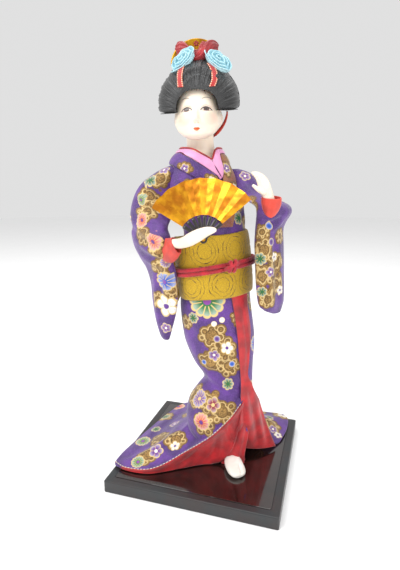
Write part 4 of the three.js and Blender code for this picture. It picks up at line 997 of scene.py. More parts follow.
SLEEVES = {
    "sleeve_right": {
        "rows": SLEEVE_RIGHT,
        "folds": [
            ([(142, 187), (148, 194), (157, 200), (167, 203)], 2.6, 2.0),
            ([(135, 200), (146, 209), (158, 215), (168, 218)], 3.0, 1.4),
            ([(133, 214), (144, 224), (156, 230), (166, 233)], 3.0, 1.1),
            ([(134, 232), (146, 242), (158, 249), (167, 252)], 2.6, 0.9),
            ([(141, 252), (152, 258), (163, 261), (171, 262)], 2.4, 1.1),
            ([(158, 262), (160, 284), (161, 306), (164, 328)], 3.0, 1.1),
            ([(170, 268), (171, 290), (170, 310), (168, 328)], 2.4, 0.8),
            ([(152, 176), (156, 184), (164, 192)], 2.6, 0.8),
        ],
        "flowers": [
            (184, 163, 4, "white"), (142, 220, 5, "red"), (152.7, 242, 6.2, "red"), (166, 262, 4, "violet"),
            (164, 282, 7, "blue"), (166, 306.5, 8.4, "white"), (150, 180, 4.6, "leaf"), (160, 207, 4, "plum"),
            (141, 200, 4, "green"), (166, 328, 4, "plum"), (164, 170, 4, "plum"),
        ],
        "clouds": [(150, 196, 7), (142, 234, 7.5), (158, 250, 7), (160, 268, 6.5), (172, 290, 6), (158, 300, 6),
                   (160, 178, 7), (147, 212, 6.5)],
        "seed": 21,
    },
    "sleeve_left": {
        "rows": SLEEVE_LEFT,
        "folds": [
            ([(283, 216), (274, 222), (264, 224), (255, 221)], 2.4, 1.6),
            ([(286, 210), (276, 212), (266, 213), (258, 210)], 2.0, 1.1),
            ([(262, 234), (261, 258), (263, 284), (265, 306)], 3.0, 0.9),
            ([(274, 236), (276, 260), (277, 284), (278, 308)], 3.0, 0.8),
            ([(244, 174), (248, 182), (256, 192)], 2.4, 0.9),
        ],
        "flowers": [
            (269, 226, 2.6, "blue dot"), (271.5, 242, 2.6, "violet dot"), (274, 257, 3.4, "white"), (260, 259, 4.4, "leaf"),
            (271, 272, 3.8, "plum"), (262, 292, 3.6, "leaf"), (280, 290, 3.6, "white"), (245, 176, 4, "plum"),
        ],
        "clouds": [(264, 250, 7), (275, 262, 7), (262, 276, 7), (276, 284, 6.5), (268, 300, 6), (280, 236, 5),
                   (262, 232, 5)],
        "seed": 33,
    },
}


def sleeve(node):
    told = SLEEVES[node]
    sheet = lofted(told["rows"], 180, 12).fold(told["folds"]).closed()
    data = strewn(sheet, told["flowers"], told["clouds"], 17, told["seed"])
    points, faces = joined([sheet], caps=False)
    mesh(f"{node}_fine", points, faces, BROCADE, [node], data)


def mouth(path, sides, steps, side, wall=0.8, depth=5):
    """A tube that is open at its last end, with its wall turned back inside."""
    sheet = tube(path, sides, steps, side)
    last = sheet.points[-1]
    middle = last.mean(0)
    back = sheet.points[-1 - steps].mean(0) - middle
    back = back / np.linalg.norm(back) * depth
    rings = []
    for inward, deep in ((0.35, -0.08), (0.85, -0.04), (1, 0.3), (1.1, 1.0)):
        shrink = 1 - inward * wall / np.linalg.norm(last - middle, axis=1, keepdims=True)
        rings.append(middle + (last - middle) * shrink + back * deep)
    return Sheet(np.concatenate([sheet.points, np.array(rings)]), wrap=True)


CUFF_RIGHT = [
    [-28, -30.2, 172.6, 5, 1.6], [-24, -32.6, 172.6, 7.6, 2.2], [-19.6, -34.6, 173.4, 8.4, 2.9],
    [-14.2, -37, 177.0, 6.2, 3.3],
]
CUFF_LEFT = [
    [42.4, -10.4, 194.6, 2.4, 2.4], [42.8, -10.6, 199, 5.2, 3.6], [43.2, -11.4, 203.6, 6.6, 4.2],
    [43.4, -12.4, 207.4, 6.6, 4.2],
]
CUFF_FOLDS = [
    ([(170, 246), (175, 243), (182, 241)], 1.2, 0.5),
    ([(170, 252), (174, 248), (180, 246)], 1.0, 0.4),
    ([(168.7, 216), (167, 206), (264, 196)], 1.0, 0.4),
    ([(269, 214), (272, 205), (275, 197)], 1.0, 0.4),
]


def cuffs():
    for node, path, side in (("cuff_right", CUFF_RIGHT, (0, 0, 1)), ("cuff_left", CUFF_LEFT, (1, 0, 0))):
        sheet = mouth(path, 64, 12, side).fold(CUFF_FOLDS)
        points, faces = joined([sheet])
        mesh(f"{node}_fine", points, faces, CORAL, [node])


# Hands and foot
HAND_RIGHT = [
    [-17, -36.4, 178.2, 2.9, 2.3], [-10, -40, 179, 3.4, 2.4], [-3, -43.4, 181.6, 3.9, 2.2],
    [3.4, -45.6, 185, 3.9, 2], [9, -46.8, 187.6, 3, 1.8], [13.6, -47.2, 188.7, 1.9, 1.3],
    [15.6, -47.2, 188.7, 0.8, 0.7],
]
THUMB_RIGHT = [[-9, -39.6, 179.6, 2.2, 1.8], [-4.5, -41.6, 183.6, 1.8, 1.5], [0.6, -43.2, 186.6, 1.4, 1.2], [3, -43.8, 187.8, 0.7, 0.7]]
HAND_LEFT = [
    [43.2, -10.5, 201.5, 2.9, 2.3], [42, -13.4, 207.5, 3.3, 2.3], [39.4, -15.2, 213, 4.2, 2.3],
    [37.8, -15.8, 217.4, 3.8, 2.1], [35, -15.4, 221, 2.7, 1.9], [31.6, -14.2, 222.8, 1.6, 1.4],
    [30.2, -13.6, 223, 0.8, 0.8],
]
THUMB_LEFT = [[39.6, -15.6, 210.4, 2, 1.8], [35.6, -17.6, 212.6, 1.7, 1.5], [31.6, -18.2, 215.6, 0.9, 0.9]]
FOOT = [
    [21, -15.5, 13.6, 5, 4], [22.6, -19.6, 13.8, 6.4, 4.1], [25, -24.4, 13.2, 6.8, 3.7],
    [27.8, -28.8, 12.4, 6.5, 2.9], [29.8, -31.8, 11.8, 4.8, 2.1], [30.6, -32.9, 11.5, 2.2, 1.2],
]


def blended(piece, voxel, rounds):
    """Melts the overlapping limbs of a piece into one skin."""
    melt = piece.modifiers.new("melt", "REMESH")
    melt.mode = "VOXEL"
    melt.voxel_size = voxel * MM
    melt.use_smooth_shade = True
    ease = piece.modifiers.new("ease", "SMOOTH")
    ease.factor = 0.5
    ease.iterations = rounds


def limb(path, sides, steps, side, grooves=(), depth=0.4):
    """A limb with finger grooves at some angles of its section, from a place along it onwards."""
    sheet = tube(path, sides, steps, side)
    rows = len(sheet.points)
    along = np.linspace(0, 1, rows)[:, None]
    w = np.linspace(0, 2 * math.pi, sides, endpoint=False)[None]
    dent = 0
    for angle in grooves:
        off = np.abs((w - math.radians(angle) + math.pi) % (2 * math.pi) - math.pi)
        dent = dent + bell(off, 0.14) * step(along, 0.42, 0.6) * step(along, 1.0, 0.93)
    return sheet.push(-depth * dent * np.ones((rows, sides)))


def hands():
    fingers = (-62, -90, -118, 62, 90, 118)
    right = [limb(HAND_RIGHT, 96, 16, (0, 0, 1), fingers, 0.35), tube(THUMB_RIGHT, 32, 8)]
    points, faces = joined(right)
    blended(mesh("hand_right_fine", points, faces, SKIN, ["hand_right"]), 0.26, 4)
    left = [limb(HAND_LEFT, 96, 16, (1, 0, 0), fingers, 0.35), tube(THUMB_LEFT, 32, 8, (1, 0, 0))]
    points, faces = joined(left)
    blended(mesh("hand_left_fine", points, faces, SKIN, ["hand_left"]), 0.26, 4)


def foot():
    sheet = limb(FOOT, 96, 20, (0.87, 0.49, 0), (67, -67), 1.1)
    sheet.points[..., 2] = np.maximum(sheet.points[..., 2], FLOOR)
    points, faces = joined([sheet])
    blended(mesh("tabi_foot_fine", points, faces, COTTON, ["tabi_foot"]), 0.25, 3)


# Sash, cord and bow
SASH = {"x": 1.2, "y": 1, "z": 159.6, "a": 28, "b": 21.2, "wall": 2.4, "height": 43.6, "lean": 6.1, "power": 2.2}
CORD = {"z": 158.6, "lean": 8.8, "radius": 1.55}


def tilted(points, z, lean):
    t = math.radians(-lean)
    x, y, h = np.moveaxis(np.asarray(points, float), -1, 0)
    return np.stack([SASH["x"] + x * math.cos(t) + h * math.sin(t), SASH["y"] + y, z - x * math.sin(t) + h * math.cos(t)], -1)


def sash():
    sides, half, wall = 320, SASH["height"] / 2, SASH["wall"]
    profile = [[-half - 0.2, -wall], [-half - 0.6, -wall / 2], [-half, -0.6]]
    for h in np.linspace(-1, 1, 70)[1:-1]:
        crease = 0.3 * bell(h - 0.52, 0.03) + 0.22 * bell(h + 0.45, 0.03) + 0.18 * bell(h - 0.1, 0.02)
        profile.append([h * half, 0.5 - 1.0 * h**4 - crease])
    profile += [[half, -0.6], [half + 0.6, -wall / 2], [half + 0.2, -wall], [0, -wall], [-half - 0.2, -wall]]
    rows = [[h, 0, 0, SASH["a"] + out, SASH["b"] + out, TORSO_TURN, SASH["power"]] for h, out in profile]
    flat = ovals(rows, sides)
    w = np.linspace(0, 2 * math.pi, sides, endpoint=False)[None]
    flat[..., 2] += 0.5 * np.sin(2 * w + 1) + 0.2 * np.sin(5 * w)
    sheet = Sheet(tilted(flat, SASH["z"], SASH["lean"]), wrap=True)
    points, faces = joined([sheet], caps=False)
    girth = np.linalg.norm(np.diff(flat[30], axis=0, append=flat[30][:1]), axis=1).cumsum()
    u = np.broadcast_to(np.concatenate([[0], girth])[None], (len(rows), sides + 1))
    v = np.broadcast_to(np.array(profile)[:, :1], (len(rows), sides + 1))
    band = np.stack([u, v + 0 * u, 0 * u], -1)
    quads = np.stack([band[:-1, :-1], band[:-1, 1:], band[1:, 1:], band[1:, :-1]], 2)
    data = [("band", "FLOAT_VECTOR", "CORNER", quads)]
    mesh("sash_fine", points, faces, SASH_CLOTH, ["sash"], data)


def cord():
    """Two laid ropes, one above the other, and the knot over them."""
    ropes = []
    for level in (-1, 1):
        w = np.linspace(0, 2 * math.pi, 91)
        out = CORD["radius"] + 0.6
        rows = ovals([[0, 0, 0, SASH["a"] + out, SASH["b"] + out, TORSO_TURN, SASH["power"]]], 90)[0]
        loop = np.concatenate([rows, rows[:1]])
        loop[:, 2] = level * CORD["radius"] * 0.98
        at = tilted(loop, CORD["z"], CORD["lean"])
        ropes.append(tube([[*p, CORD["radius"], CORD["radius"]] for p in at], 20, 6, rope=(3, 7 * level, 0.24)))
    points, faces = joined(ropes, caps=False)
    mesh("sash_cord_fine", points, faces, ROPE, ["sash_cord"])
    knot = []
    for shift, tall in ((-1.7, 3.2), (1.5, 3.6)):
        w = np.linspace(0, 2 * math.pi, 13)
        at = np.array([20.3, -21.9, 162.4]) + shift * np.array([0.86, 0.5, 0.1])
        ring = [at + tall * math.sin(k) * np.array([0.15, 0, 1]) + 2.2 * math.cos(k) * np.array([0.5, -0.86, 0]) for k in w]
        knot.append(tube([[*p, 1.35, 1.35] for p in ring], 16, 8, (0.86, 0.5, 0), rope=(3, 7, 0.22)))
    cross = [[16, -24.4, 160.4], [18.6, -25.2, 161.6], [21.6, -23.6, 163.4], [24.2, -20.6, 164.6]]
    knot.append(tube([[*p, 1.4, 1.4] for p in cross], 16, 10, rope=(3, 7, 0.22)))
    points, faces = joined(knot)
    mesh("sash_cord_knot_fine", points, faces, ROPE, ["sash_cord_knot"])


BOW = {"out": 23.4, "z": 161, "thick": 8}
BOW_RIGHT = [[3.4, 12, 3.6, 6], [8, 15, 4.6, 1], [15, 18.5, 5, -9], [22, 21, 4.6, -20], [28, 21, 3, -28], [29.6, 17, 1.2, -31]]
BOW_LEFT = [[3.4, 12, 3.6, 6], [8, 14, 4.6, 5], [15, 16, 5, 2], [22, 17, 4.6, -1], [28, 16, 3, -3], [29.6, 12, 1.2, -4]]
BOW_KNOT = [[-10, 4, 3.8], [-3, 3.4, 5], [4, 3.6, 5.4], [12, 3.4, 5], [18, 4.4, 3.6]]


def from_back(points):
    t = math.radians(TORSO_TURN)
    x, y, z = np.moveaxis(points, -1, 0)
    return np.stack([SASH["x"] + x * math.cos(t) - y * math.sin(t), SASH["y"] + x * math.sin(t) + y * math.cos(t), z + BOW["z"]], -1)


def banded(u, v):
    """Data that gives a grid its place on the woven band."""
    u, v = (np.concatenate([a, a[:, :1]], 1) for a in np.broadcast_arrays(u, v))
    band = np.stack([u, v, 0 * u], -1)
    quads = np.stack([band[:-1, :-1], band[:-1, 1:], band[1:, 1:], band[1:, :-1]], 2)
    return [("band", "FLOAT_VECTOR", "CORNER", quads)]


def bow_loop(node, rows, sense):
    rows = smooth(rows, 14)
    w = np.linspace(0, 2 * math.pi, 120, endpoint=False)[None]
    u, tall, deep, height = (rows[:, k : k + 1] for k in range(4))
    pleats = 1 + 0.16 * np.cos(tall / 3 * np.cos(w) * 3.2) * step(u, 26, 4)
    y = BOW["out"] + BOW["thick"] / 2 + deep * pleats * np.sign(np.sin(w)) * np.abs(np.sin(w)) ** 0.8
    z = height + tall * np.sign(np.cos(w)) * np.abs(np.cos(w)) ** 0.8
    sheet = Sheet(from_back(np.stack([sense * u + 0 * w, y, z], -1))[:, ::sense], wrap=True).closed()
    points, faces = joined([sheet], caps=False)
    ends = ((1, 1), (0, 0))
    data = banded(np.pad(u + 0 * w, ends, mode="edge"), np.pad((z - height)[:, ::sense], ends, mode="edge"))
    mesh(f"{node}_fine", points, faces, SASH_CLOTH, [node], data)


def bow_knot():
    rows = smooth(BOW_KNOT, 12)
    w = np.linspace(0, 2 * math.pi, 90, endpoint=False)[None]
    z, a, b = (rows[:, k : k + 1] for k in range(3))
    ribs = 1 + 0.05 * np.cos(9 * w)
    x = a * ribs * np.sign(np.cos(w)) * np.abs(np.cos(w)) ** 0.66
    y = BOW["out"] + BOW["thick"] / 2 + b * ribs * np.sign(np.sin(w)) * np.abs(np.sin(w)) ** 0.66
    sheet = Sheet(from_back(np.stack([x, y, z + 0 * w], -1)), wrap=True)
    points, faces = joined([sheet], caps=False)
    mesh("sash_bow_knot_fine", points, faces, SASH_CLOTH, ["sash_bow_knot"], banded(x, z + 0 * w))


# Head, in its own frame with the face towards -Y
FACE = [
    [-18.2, 0, -12.8, 2.4, 2.4], [-17.4, 0, -12.4, 5.8, 4.8], [-15.6, 0, -11, 9.6, 8], [-13, 0, -9, 12.4, 11],
    [-10, 0, -6.8, 14.4, 13.8], [-7.4, 0, -5.2, 15.3, 15.4], [-4.6, 0, -3.8, 15.7, 16.6],
    [-1, 0, -2.4, 15.5, 17.4], [4, 0, -1.4, 15.2, 17.8], [9, 0, -0.8, 14.2, 17], [13.6, 0, -0.6, 11.8, 14.4],
    [17, 0, -0.2, 8, 9.6], [18.8, 0, 0, 3, 3.6],
]
NECK_ROWS = [
    [225.5, -9.6, 1, 15, 12.6, 18], [231, -9.5, 1, 13.8, 12, 18], [235.4, -9.4, 1.6, 11.2, 10.4, 16],
    [239, -9.2, 2.2, 9.9, 9.4, 15], [244, -9.3, 1.2, 9.4, 9.2, 13], [250, -9.3, 0, 9.4, 9.4, 13],
    [255, -9.3, -1, 9, 9, 13],
]
# Forward relief of the face: x, z, half width, half height, rise. A mirrored one stands at x and -x
RELIEF = [
    (0, -6.4, 1.7, 1.7, 2.3, False), (0, -3.6, 1.25, 3.0, 1.5, False), (1.5, -7.4, 1.0, 0.9, 0.8, True),
    (6.3, -0.6, 3.8, 2.2, -0.7, True), (6.3, -0.7, 2.6, 1.2, 0.45, True), (8.2, -7.5, 4, 3.6, 0.5, True),
    (0, -11.5, 2.1, 0.7, 0.75, False), (0, -13.2, 1.9, 0.75, 0.8, False), (0, -12.3, 2.3, 0.22, -0.3, False),
    (0, -16, 3.2, 1.6, 0.6, False), (0, -9.6, 0.5, 0.9, -0.3, False), (6.0, 4.6, 4.4, 1.6, 0.35, True),
]


def into_head(points, axes=None):
    m = np.array(HEAD_AXES if axes is None else axes)
    return points @ m[:3, :3].T + m[:3, 3]


def head():
    sides = 240
    table = smooth([[*row, 0, 2.15] for row in FACE], 12)
    grid = ovals(table, sides)
    x, y, z = np.moveaxis(grid, -1, 0)
    ahead = step(-y, 6, 12)
    rise = 0
    for at, high, wide, tall, push, twin in RELIEF:
        for centre in (at, -at) if twin else (at,):
            rise = rise + push * bell(x - centre - EYES["x"], wide) * bell(z - high, tall)
    grid[..., 1] -= rise * ahead
    for side in (-1, 1):
        ear = bell(y - 0.8, 2.4) * bell(z + 5.5, 4.2) * (side * x > 10)
        hollow = bell(y - 0.4, 1.0) * bell(z + 5, 2.2) * (side * x > 10)
        grid[..., 0] += side * (2.2 * ear - 1.3 * hollow)
    face = Sheet(into_head(grid), wrap=True)
    points, faces = joined([face, lofted(NECK_ROWS, 96, 8)])
    mesh("head_fine", points, faces, PAINTED, ["head"])


# Hair, in the head's frame
DOME = [
    [0.2, 0, 2.5, 23.6, 18.5, 0, 2.6], [1.6, 0, 2, 26.6, 21.3, 0, 2.6], [4.6, 0, 2, 27.2, 22.2, 0, 2.5],
    [10, 0, 1.8, 26.9, 22.4, 0, 2.4], [16, 0, 1.6, 24.9, 21.6, 0, 2.3], [21.5, 0, 1.6, 21.3, 19.6, 0, 2.2],
    [27, 0, 2, 16.6, 16.2, 0, 2.1], [31, 0, 2.4, 11.2, 11.4, 0, 2], [33.4, 0, 2.6, 4.6, 5, 0, 2],
]
NAPE = [[-15.6, 0, 12.5, 4.6, 3.6], [-13.4, 0, 12.8, 9, 6.6], [-8, 0, 12.4, 11.6, 9], [-1, 0, 11.6, 12.4, 10.4], [6, 0, 10, 13, 10.4]]
TOPKNOT = [[26, 0, 12, 7, 6], [32, 0, 13, 10, 8.4], [38, 0, 13.4, 10.8, 9], [42, 0, 13.2, 9, 7.4], [45, 0, 12.8, 4.6, 4]]
OPENING = {"half": 14.2, "top": 14.2, "x": 0.3}
SHEAR = {"rise": 0.17, "from": -6, "x": 0.6}
HAIR_AXES = HEAD_AXES @ Matrix(
    ((1, 0, 0, SHEAR["x"]), (0, 1, 0, 0), (0, SHEAR["rise"], 1, -SHEAR["rise"] * SHEAR["from"]), (0, 0, 0, 1))
)
STRANDS = {"count": 150, "groove": 0.3, "lock": 0.45}


def strand_data(across, along, wrap):
    if wrap:
        across, along = (np.concatenate([a, a[:, -1:] * 2 - a[:, -2:-1]], 1) for a in (across, along))
    band = np.stack([across, along, 0 * along], -1)
    quads = np.stack([band[:-1, :-1], band[:-1, 1:], band[1:, 1:], band[1:, :-1]], 2)
    return quads.reshape(-1, 3)


def grooves(across, seed, count=40):
    """Uneven ridges of hair over a coordinate across the strands."""
    rng = np.random.default_rng(seed)
    ridge = 0
    for pitch, deep in ((1.1, 0.09), (1.9, 0.12), (3.4, 0.16), (6.1, 0.16)):
        ridge = ridge + deep * np.sin(2 * math.pi * across / pitch + rng.uniform(0, 6) + np.sin(across / 4.7))
    return ridge


def dome_sheet():
    """Hair combed back from the face: columns of strands from the forehead over the dome."""
    table = smooth(DOME, 16)
    cols, rows = 360, 100
    phi = np.radians(np.linspace(-1.5, 181.5, cols))
    reachable = np.linspace(0, 60, 1201)[:, None]
    x = reachable * np.cos(phi)
    z = reachable * np.sin(phi)
    a = np.interp(np.clip(z, 0.2, 33.4), table[:, 0], table[:, 3])
    outside = (np.abs(x) > a) | (z > 33.4) | (z < -0.8)
    rim = reachable[outside.argmax(0), 0]
    arch = (np.abs(np.cos(phi)) ** 2.4 / OPENING["half"] ** 2.4 + np.maximum(np.sin(phi), 0) ** 2.4 / OPENING["top"] ** 2.4)
    arch = arch ** (-1 / 2.4)
    start = np.arcsin(np.clip((arch - 0.6) / rim, 0, 0.98))
    alpha = start[None] + (math.pi - start[None]) * np.linspace(0, 1, rows)[:, None]
    r = rim[None] * np.sin(alpha)
    x = r * np.cos(phi) + OPENING["x"]
    z = np.maximum(r * np.sin(phi), 0.1)
    level = np.clip(z, 0.2, 33.4)
    cy, a, b, power = (np.interp(level, table[:, 0], table[:, k]) for k in (2, 3, 4, 6))
    inner = np.maximum(1 - np.minimum(np.abs(x) / a, 1) ** power, 0) ** (1 / power)
    y = cy - np.sign(math.pi / 2 - alpha) * b * inner
    across = phi[None] * 20 + 0 * alpha
    lead = np.linspace(0, 1, rows)[:, None]
    sheet = Sheet(into_head(np.stack([x, y, z], -1), HAIR_AXES)[:, ::-1])
    ridges = grooves(across, 5) * step(lead, 0.0, 0.12) * step(lead, 1, 0.85)
    sheet.push(ridges[:, ::-1])
    return sheet, across[:, ::-1], (lead * 60 + 0 * across)[:, ::-1]


HAIR_FOLDS = [([(178, 86), (183, 78), (190, 73), (198, 71), (206, 73.5), (213, 79), (219, 88)], 1.7, 1.0)]


def hair():
    dome, across, along = dome_sheet()
    dome.fold(HAIR_FOLDS)
    sheets, data = [dome], [strand_data(across, along, False)]
    # Underside, from the face and neck out to the flared edge
    w = np.radians(np.linspace(-60, 240, 301))
    t = np.linspace(0, 1, 26)[:, None]
    across = 26.2 * np.sign(np.cos(w)) * np.abs(np.cos(w)) ** (2 / 2.6)
    back = 2.2 + 21 * np.sign(np.sin(w)) * np.abs(np.sin(w)) ** (2 / 2.6)
    outer = np.stack([across, back, 0 * w], -1)
    inner = np.stack([11 * np.cos(w), 3 + 9 * np.sin(w), 0 * w + 3.4], -1)
    flat = inner[None] + (outer - inner)[None] * t[..., None]
    flat[..., 2] = 0.1 + 3.2 * (1 - t) ** 2 + 0.25 * np.sin(60 * w)[None] * t
    keep = Sheet(into_head(flat, HAIR_AXES)[:, ::-1])
    sheets.append(keep)
    data.append(strand_data((w[None] * 22 + 0 * t)[:, ::-1], (t * 18 + 0 * w[None])[:, ::-1], False))
    for table, scale, seed in ((NAPE, 12, 8), (TOPKNOT, 10, 9)):
        roll = ovals(smooth(full(table), 14), 200)
        w = np.linspace(0, 2 * math.pi, 200, endpoint=False)[None]
        lead = np.linspace(0, 1, len(roll))[:, None]
        bun = Sheet(into_head(roll), wrap=True)
        bun.push(grooves(w * scale + 0 * lead, seed)).closed()
        lead = np.concatenate([lead[:1], lead, lead[-1:]])
        sheets.append(bun)
        data.append(strand_data(w * scale + 0 * lead, lead * 26 + 0 * w, True))
    points, faces = joined(sheets, caps=False)
    data = [("strand", "FLOAT_VECTOR", "CORNER", np.concatenate(data))]
    mesh("hair_fine", points, faces, HAIR, ["hair"], data)


def wisps():
    """Loose hairs over the forehead."""
    rng = np.random.default_rng(2)
    strands = []
    for k in range(16):
        x = OPENING["x"] + rng.uniform(-7, 7)
        top = 13.6 - 0.05 * x * x
        y = -18.2 + 0.035 * x * x
        drop = rng.uniform(1, 3.4)
        path = [[x, y + 1.5, top + 1.5], [x + rng.uniform(-0.5, 0.5), y - 0.3, top - drop / 2], [x + rng.uniform(-1, 1), y - 0.2, top - drop]]
        at = into_head(np.array(path))
        strands.append(tube([[*p, s, s] for p, s in zip(at, (0.12, 0.1, 0.04))], 5, 4))
    points, faces = joined(strands)
    shade = [("strand", "FLOAT_VECTOR", "POINT", np.zeros((len(points), 3)))]
    mesh("hair_wisps", points, faces, HAIR, (), shade)


# Ornaments, in the head's frame
COMB = {"half": 17, "tall": 15.4, "thick": 1.4, "y": 2, "base": 31}
BLOSSOMS = [(-11.5, 5.5, 1.3), (-6.4, 10.4, 1.5), (0.4, 12.4, 1.2), (6.6, 10.2, 1.5), (11.6, 5.4, 1.3)]


def comb():
    half, tall, thick, y, base = (COMB[k] for k in ("half", "tall", "thick", "y", "base"))
    w = np.linspace(0, math.pi, 121)
    rings = [(0.0, 0), (0.8, 0), (0.9, 0.1), (0.955, 0.45), (1.0, 0.3), (1.0, -thick - 0.3), (0.955, -thick - 0.45),
             (0.9, -thick - 0.1), (0.8, -thick), (0.0, -thick)]
    grid = []
    for share, front_lift in rings:
        ripple = 0.12 * np.cos(46 * w) * (0.2 < share < 0.9)
        grid.append(np.stack([half * share * np.cos(w), y - front_lift - thick - ripple + 0 * w, base + tall * share * np.sin(w)], -1))
    sheet = Sheet(into_head(np.array(grid)))
    points, faces = joined([sheet])
    mesh("hair_comb_fine", points, faces, GILT, ["hair_comb"])
    petals = []
    for x, z, size in BLOSSOMS:
        for k in range(5):
            a = 2 * math.pi * k / 5 + 0.3
            at = np.array([x + size * 0.9 * math.cos(a), y - thick + 0.1, base + z + size * 0.9 * math.sin(a)])
            turn = np.linspace(0, 2 * math.pi, 12, endpoint=False)
            disc = np.stack([0 * turn, 0 * turn, 0 * turn], -1)
            rows = [at + np.array([0, lift, 0]) + size * 0.62 * share * np.stack([np.cos(turn), 0 * turn, np.sin(turn)], -1)
                    for share, lift in ((1, -0.05), (0.9, -0.3), (0.5, -0.42), (0.05, -0.4))]
            petals.append(Sheet(into_head(np.array(rows)), wrap=True))
    points, faces = joined(petals)
    mesh("comb_blossoms", points, faces, GARNET)


ROSE = {"radius": 9.3, "share": 0.6, "turns": 3.4, "tall": 4.6}
ROSES = [
    ("ribbon_rose_right", (-7.4, -8, 30.8), (0.75, 0.1, 0.66), (-0.3, -0.86, 0.45)),
    ("ribbon_rose_left", (14.8, -8.4, 28.6), (0.78, -0.06, -0.62), (0.3, -0.86, 0.42)),
]


def rose(node, at, along, out):
    """A flower of ribbon wound on its edge, wider along one axis and pointed at its ends."""
    up = np.array(out) / np.linalg.norm(out)
    lie = np.array(along) - up * (up @ np.array(along))
    lie /= np.linalg.norm(lie)
    wide = np.cross(lie, up)
    turns, radius = ROSE["turns"], ROSE["radius"]
    s = np.linspace(0, 1, 400)[:, None]
    w = 2 * math.pi * turns * s + 0.5
    r = 0.6 + (radius - 1.6) * s**0.85
    r = r * (1 + 0.1 * np.cos(2 * w) + 0.03 * np.sin(5 * w))
    h = np.linspace(0, 1, 14)[None]
    flare = 0.2 + 1.5 * s * h**2
    lip = 0.35 * np.sin(7 * w + 3 * h) * h * s
    lift = ROSE["tall"] * (1.12 - 0.42 * s) * h + lip
    u = (r + flare) * np.cos(w)
    v = (r + flare) * np.sin(w) * ROSE["share"]
    grid = np.array(at) + u[..., None] * lie + v[..., None] * wide + (lift - 0.3)[..., None] * up
    bed_w = np.linspace(0, 2 * math.pi, 64, endpoint=False)
    bed = []
    for share, z in ((0.98, 0.1), (0.9, 1.4), (0.4, 2.0), (0.05, 2.2)):
        bed.append(np.array(at) + radius * share * (np.cos(bed_w)[:, None] * lie + ROSE["share"] * np.sin(bed_w)[:, None] * wide) + z * up)
    ribbon = Sheet(into_head(grid))
    points, faces = joined([ribbon, Sheet(into_head(np.array(bed)), wrap=True)])
    piece = mesh(f"{node}_fine", points, faces, BLUE, [node])
    thicken(piece, 0.45, 0)


BOW_RIBBON = [
    [-12, -2.6, 41.6, 2.2, 1.6], [-9.2, -3.4, 40, 3.8, 2.4], [-4.4, -5.4, 36.6, 2.8, 2], [1.6, -7, 33.6, 3.2, 2.4],
    [6, -6, 35.6, 3, 2.2], [10.4, -4.6, 38.4, 4.6, 2.6], [14.4, -3.6, 37.4, 2.6, 1.8],
]
BOW_TIP = [[4, -5.4, 35.6, 2.4, 1.8], [5.4, -4.6, 39, 2.6, 1.8], [6.4, -4, 42, 1.6, 1.2]]


def crinkled(path, seed):
    sheet = tube(path, 96, 20)
    rows, cols = sheet.points.shape[:2]
    w = np.linspace(0, 2 * math.pi, cols, endpoint=False)[None]
    t = np.linspace(0, 1, rows)[:, None] * len(path)
    rng = np.random.default_rng(seed)
    amount = 0
    for n, m, size in ((3, 2.2, 0.34), (5, 3.1, 0.3), (8, 4.7, 0.2), (13, 6.3, 0.12)):
        amount = amount + size * np.abs(np.sin(n * w + m * t + rng.uniform(0, 6)))
    return sheet.push(amount - 0.35)


def hair_ribbon():
    parts = [crinkled(BOW_RIBBON, 1), crinkled(BOW_TIP, 2)]
    for part in parts:
        part.points = into_head(part.points)
    points, faces = joined(parts)
    mesh("hair_ribbon_fine", points, faces, GARNET, ["hair_ribbon"])


STRIPS = {
    "hair_strip_right": [[15.4, -9.6], [20, -10.2], [24.4, -10], [28.6, -9]],
    "hair_strip_left": [[14.6, 10.4], [18, 11.8], [21.6, 12], [25.4, 11], [29, 9]],
}


def hair_strip(node):
    rows = smooth(STRIPS[node], 16)
    u = np.linspace(-1, 1, 15)[None]
    x = rows[:, 1:] + 1.9 * u
    z = rows[:, :1] + 0 * u
    y = front(DOME, x, z, 0.9) - 0.4 * (1 - u**2) - 0.15 * (np.abs(np.abs(u) - 0.75) < 0.2)
    sheet = Sheet(into_head(np.stack([x, y, z], -1), HAIR_AXES))
    points, faces = joined([sheet])
    u, v = np.broadcast_arrays(u, rows[:, :1])
    band = np.stack([u, v, 0 * u], -1)
    quads = np.stack([band[:-1, :-1], band[:-1, 1:], band[1:, 1:], band[1:, :-1]], 2)
    data = [("band", "FLOAT_VECTOR", "CORNER", quads)]
    piece = mesh(f"{node}_fine", points, faces, STRIP, [node], data)
    thicken(piece, 0.5, -1)


NAPE_RIBBON = [
    [8.8, 4.6, 264.6, 1.4, 0.6], [8.4, 5.6, 262.4, 1.4, 0.6], [6.6, 7.6, 258.6, 1.4, 0.6],
    [3.2, 10.2, 254.6, 1.4, 0.6], [-0.8, 12, 251.4, 1.4, 0.6], [-5, 13.4, 249.6, 1.4, 0.6],
]


def nape_ribbon():
    points, faces = joined([tube(NAPE_RIBBON, 24, 12, rope=(2, 5, 0.12))])
    mesh("nape_ribbon_fine", points, faces, CORAL, ["nape_ribbon"])


# Fan, in its own frame: X across and Y up the middle stick
FAN_AXES = (
    Matrix.Translation(Vector(FAN["at"]))
    @ Matrix.Rotation(math.radians(FAN["turn"]), 4, "Z")
    @ Matrix.Rotation(math.radians(90 - FAN["lean"]), 4, "X")
)
PLEAT = {"panels": 14, "depth": 1.1, "paper": 0.45, "per": 6}


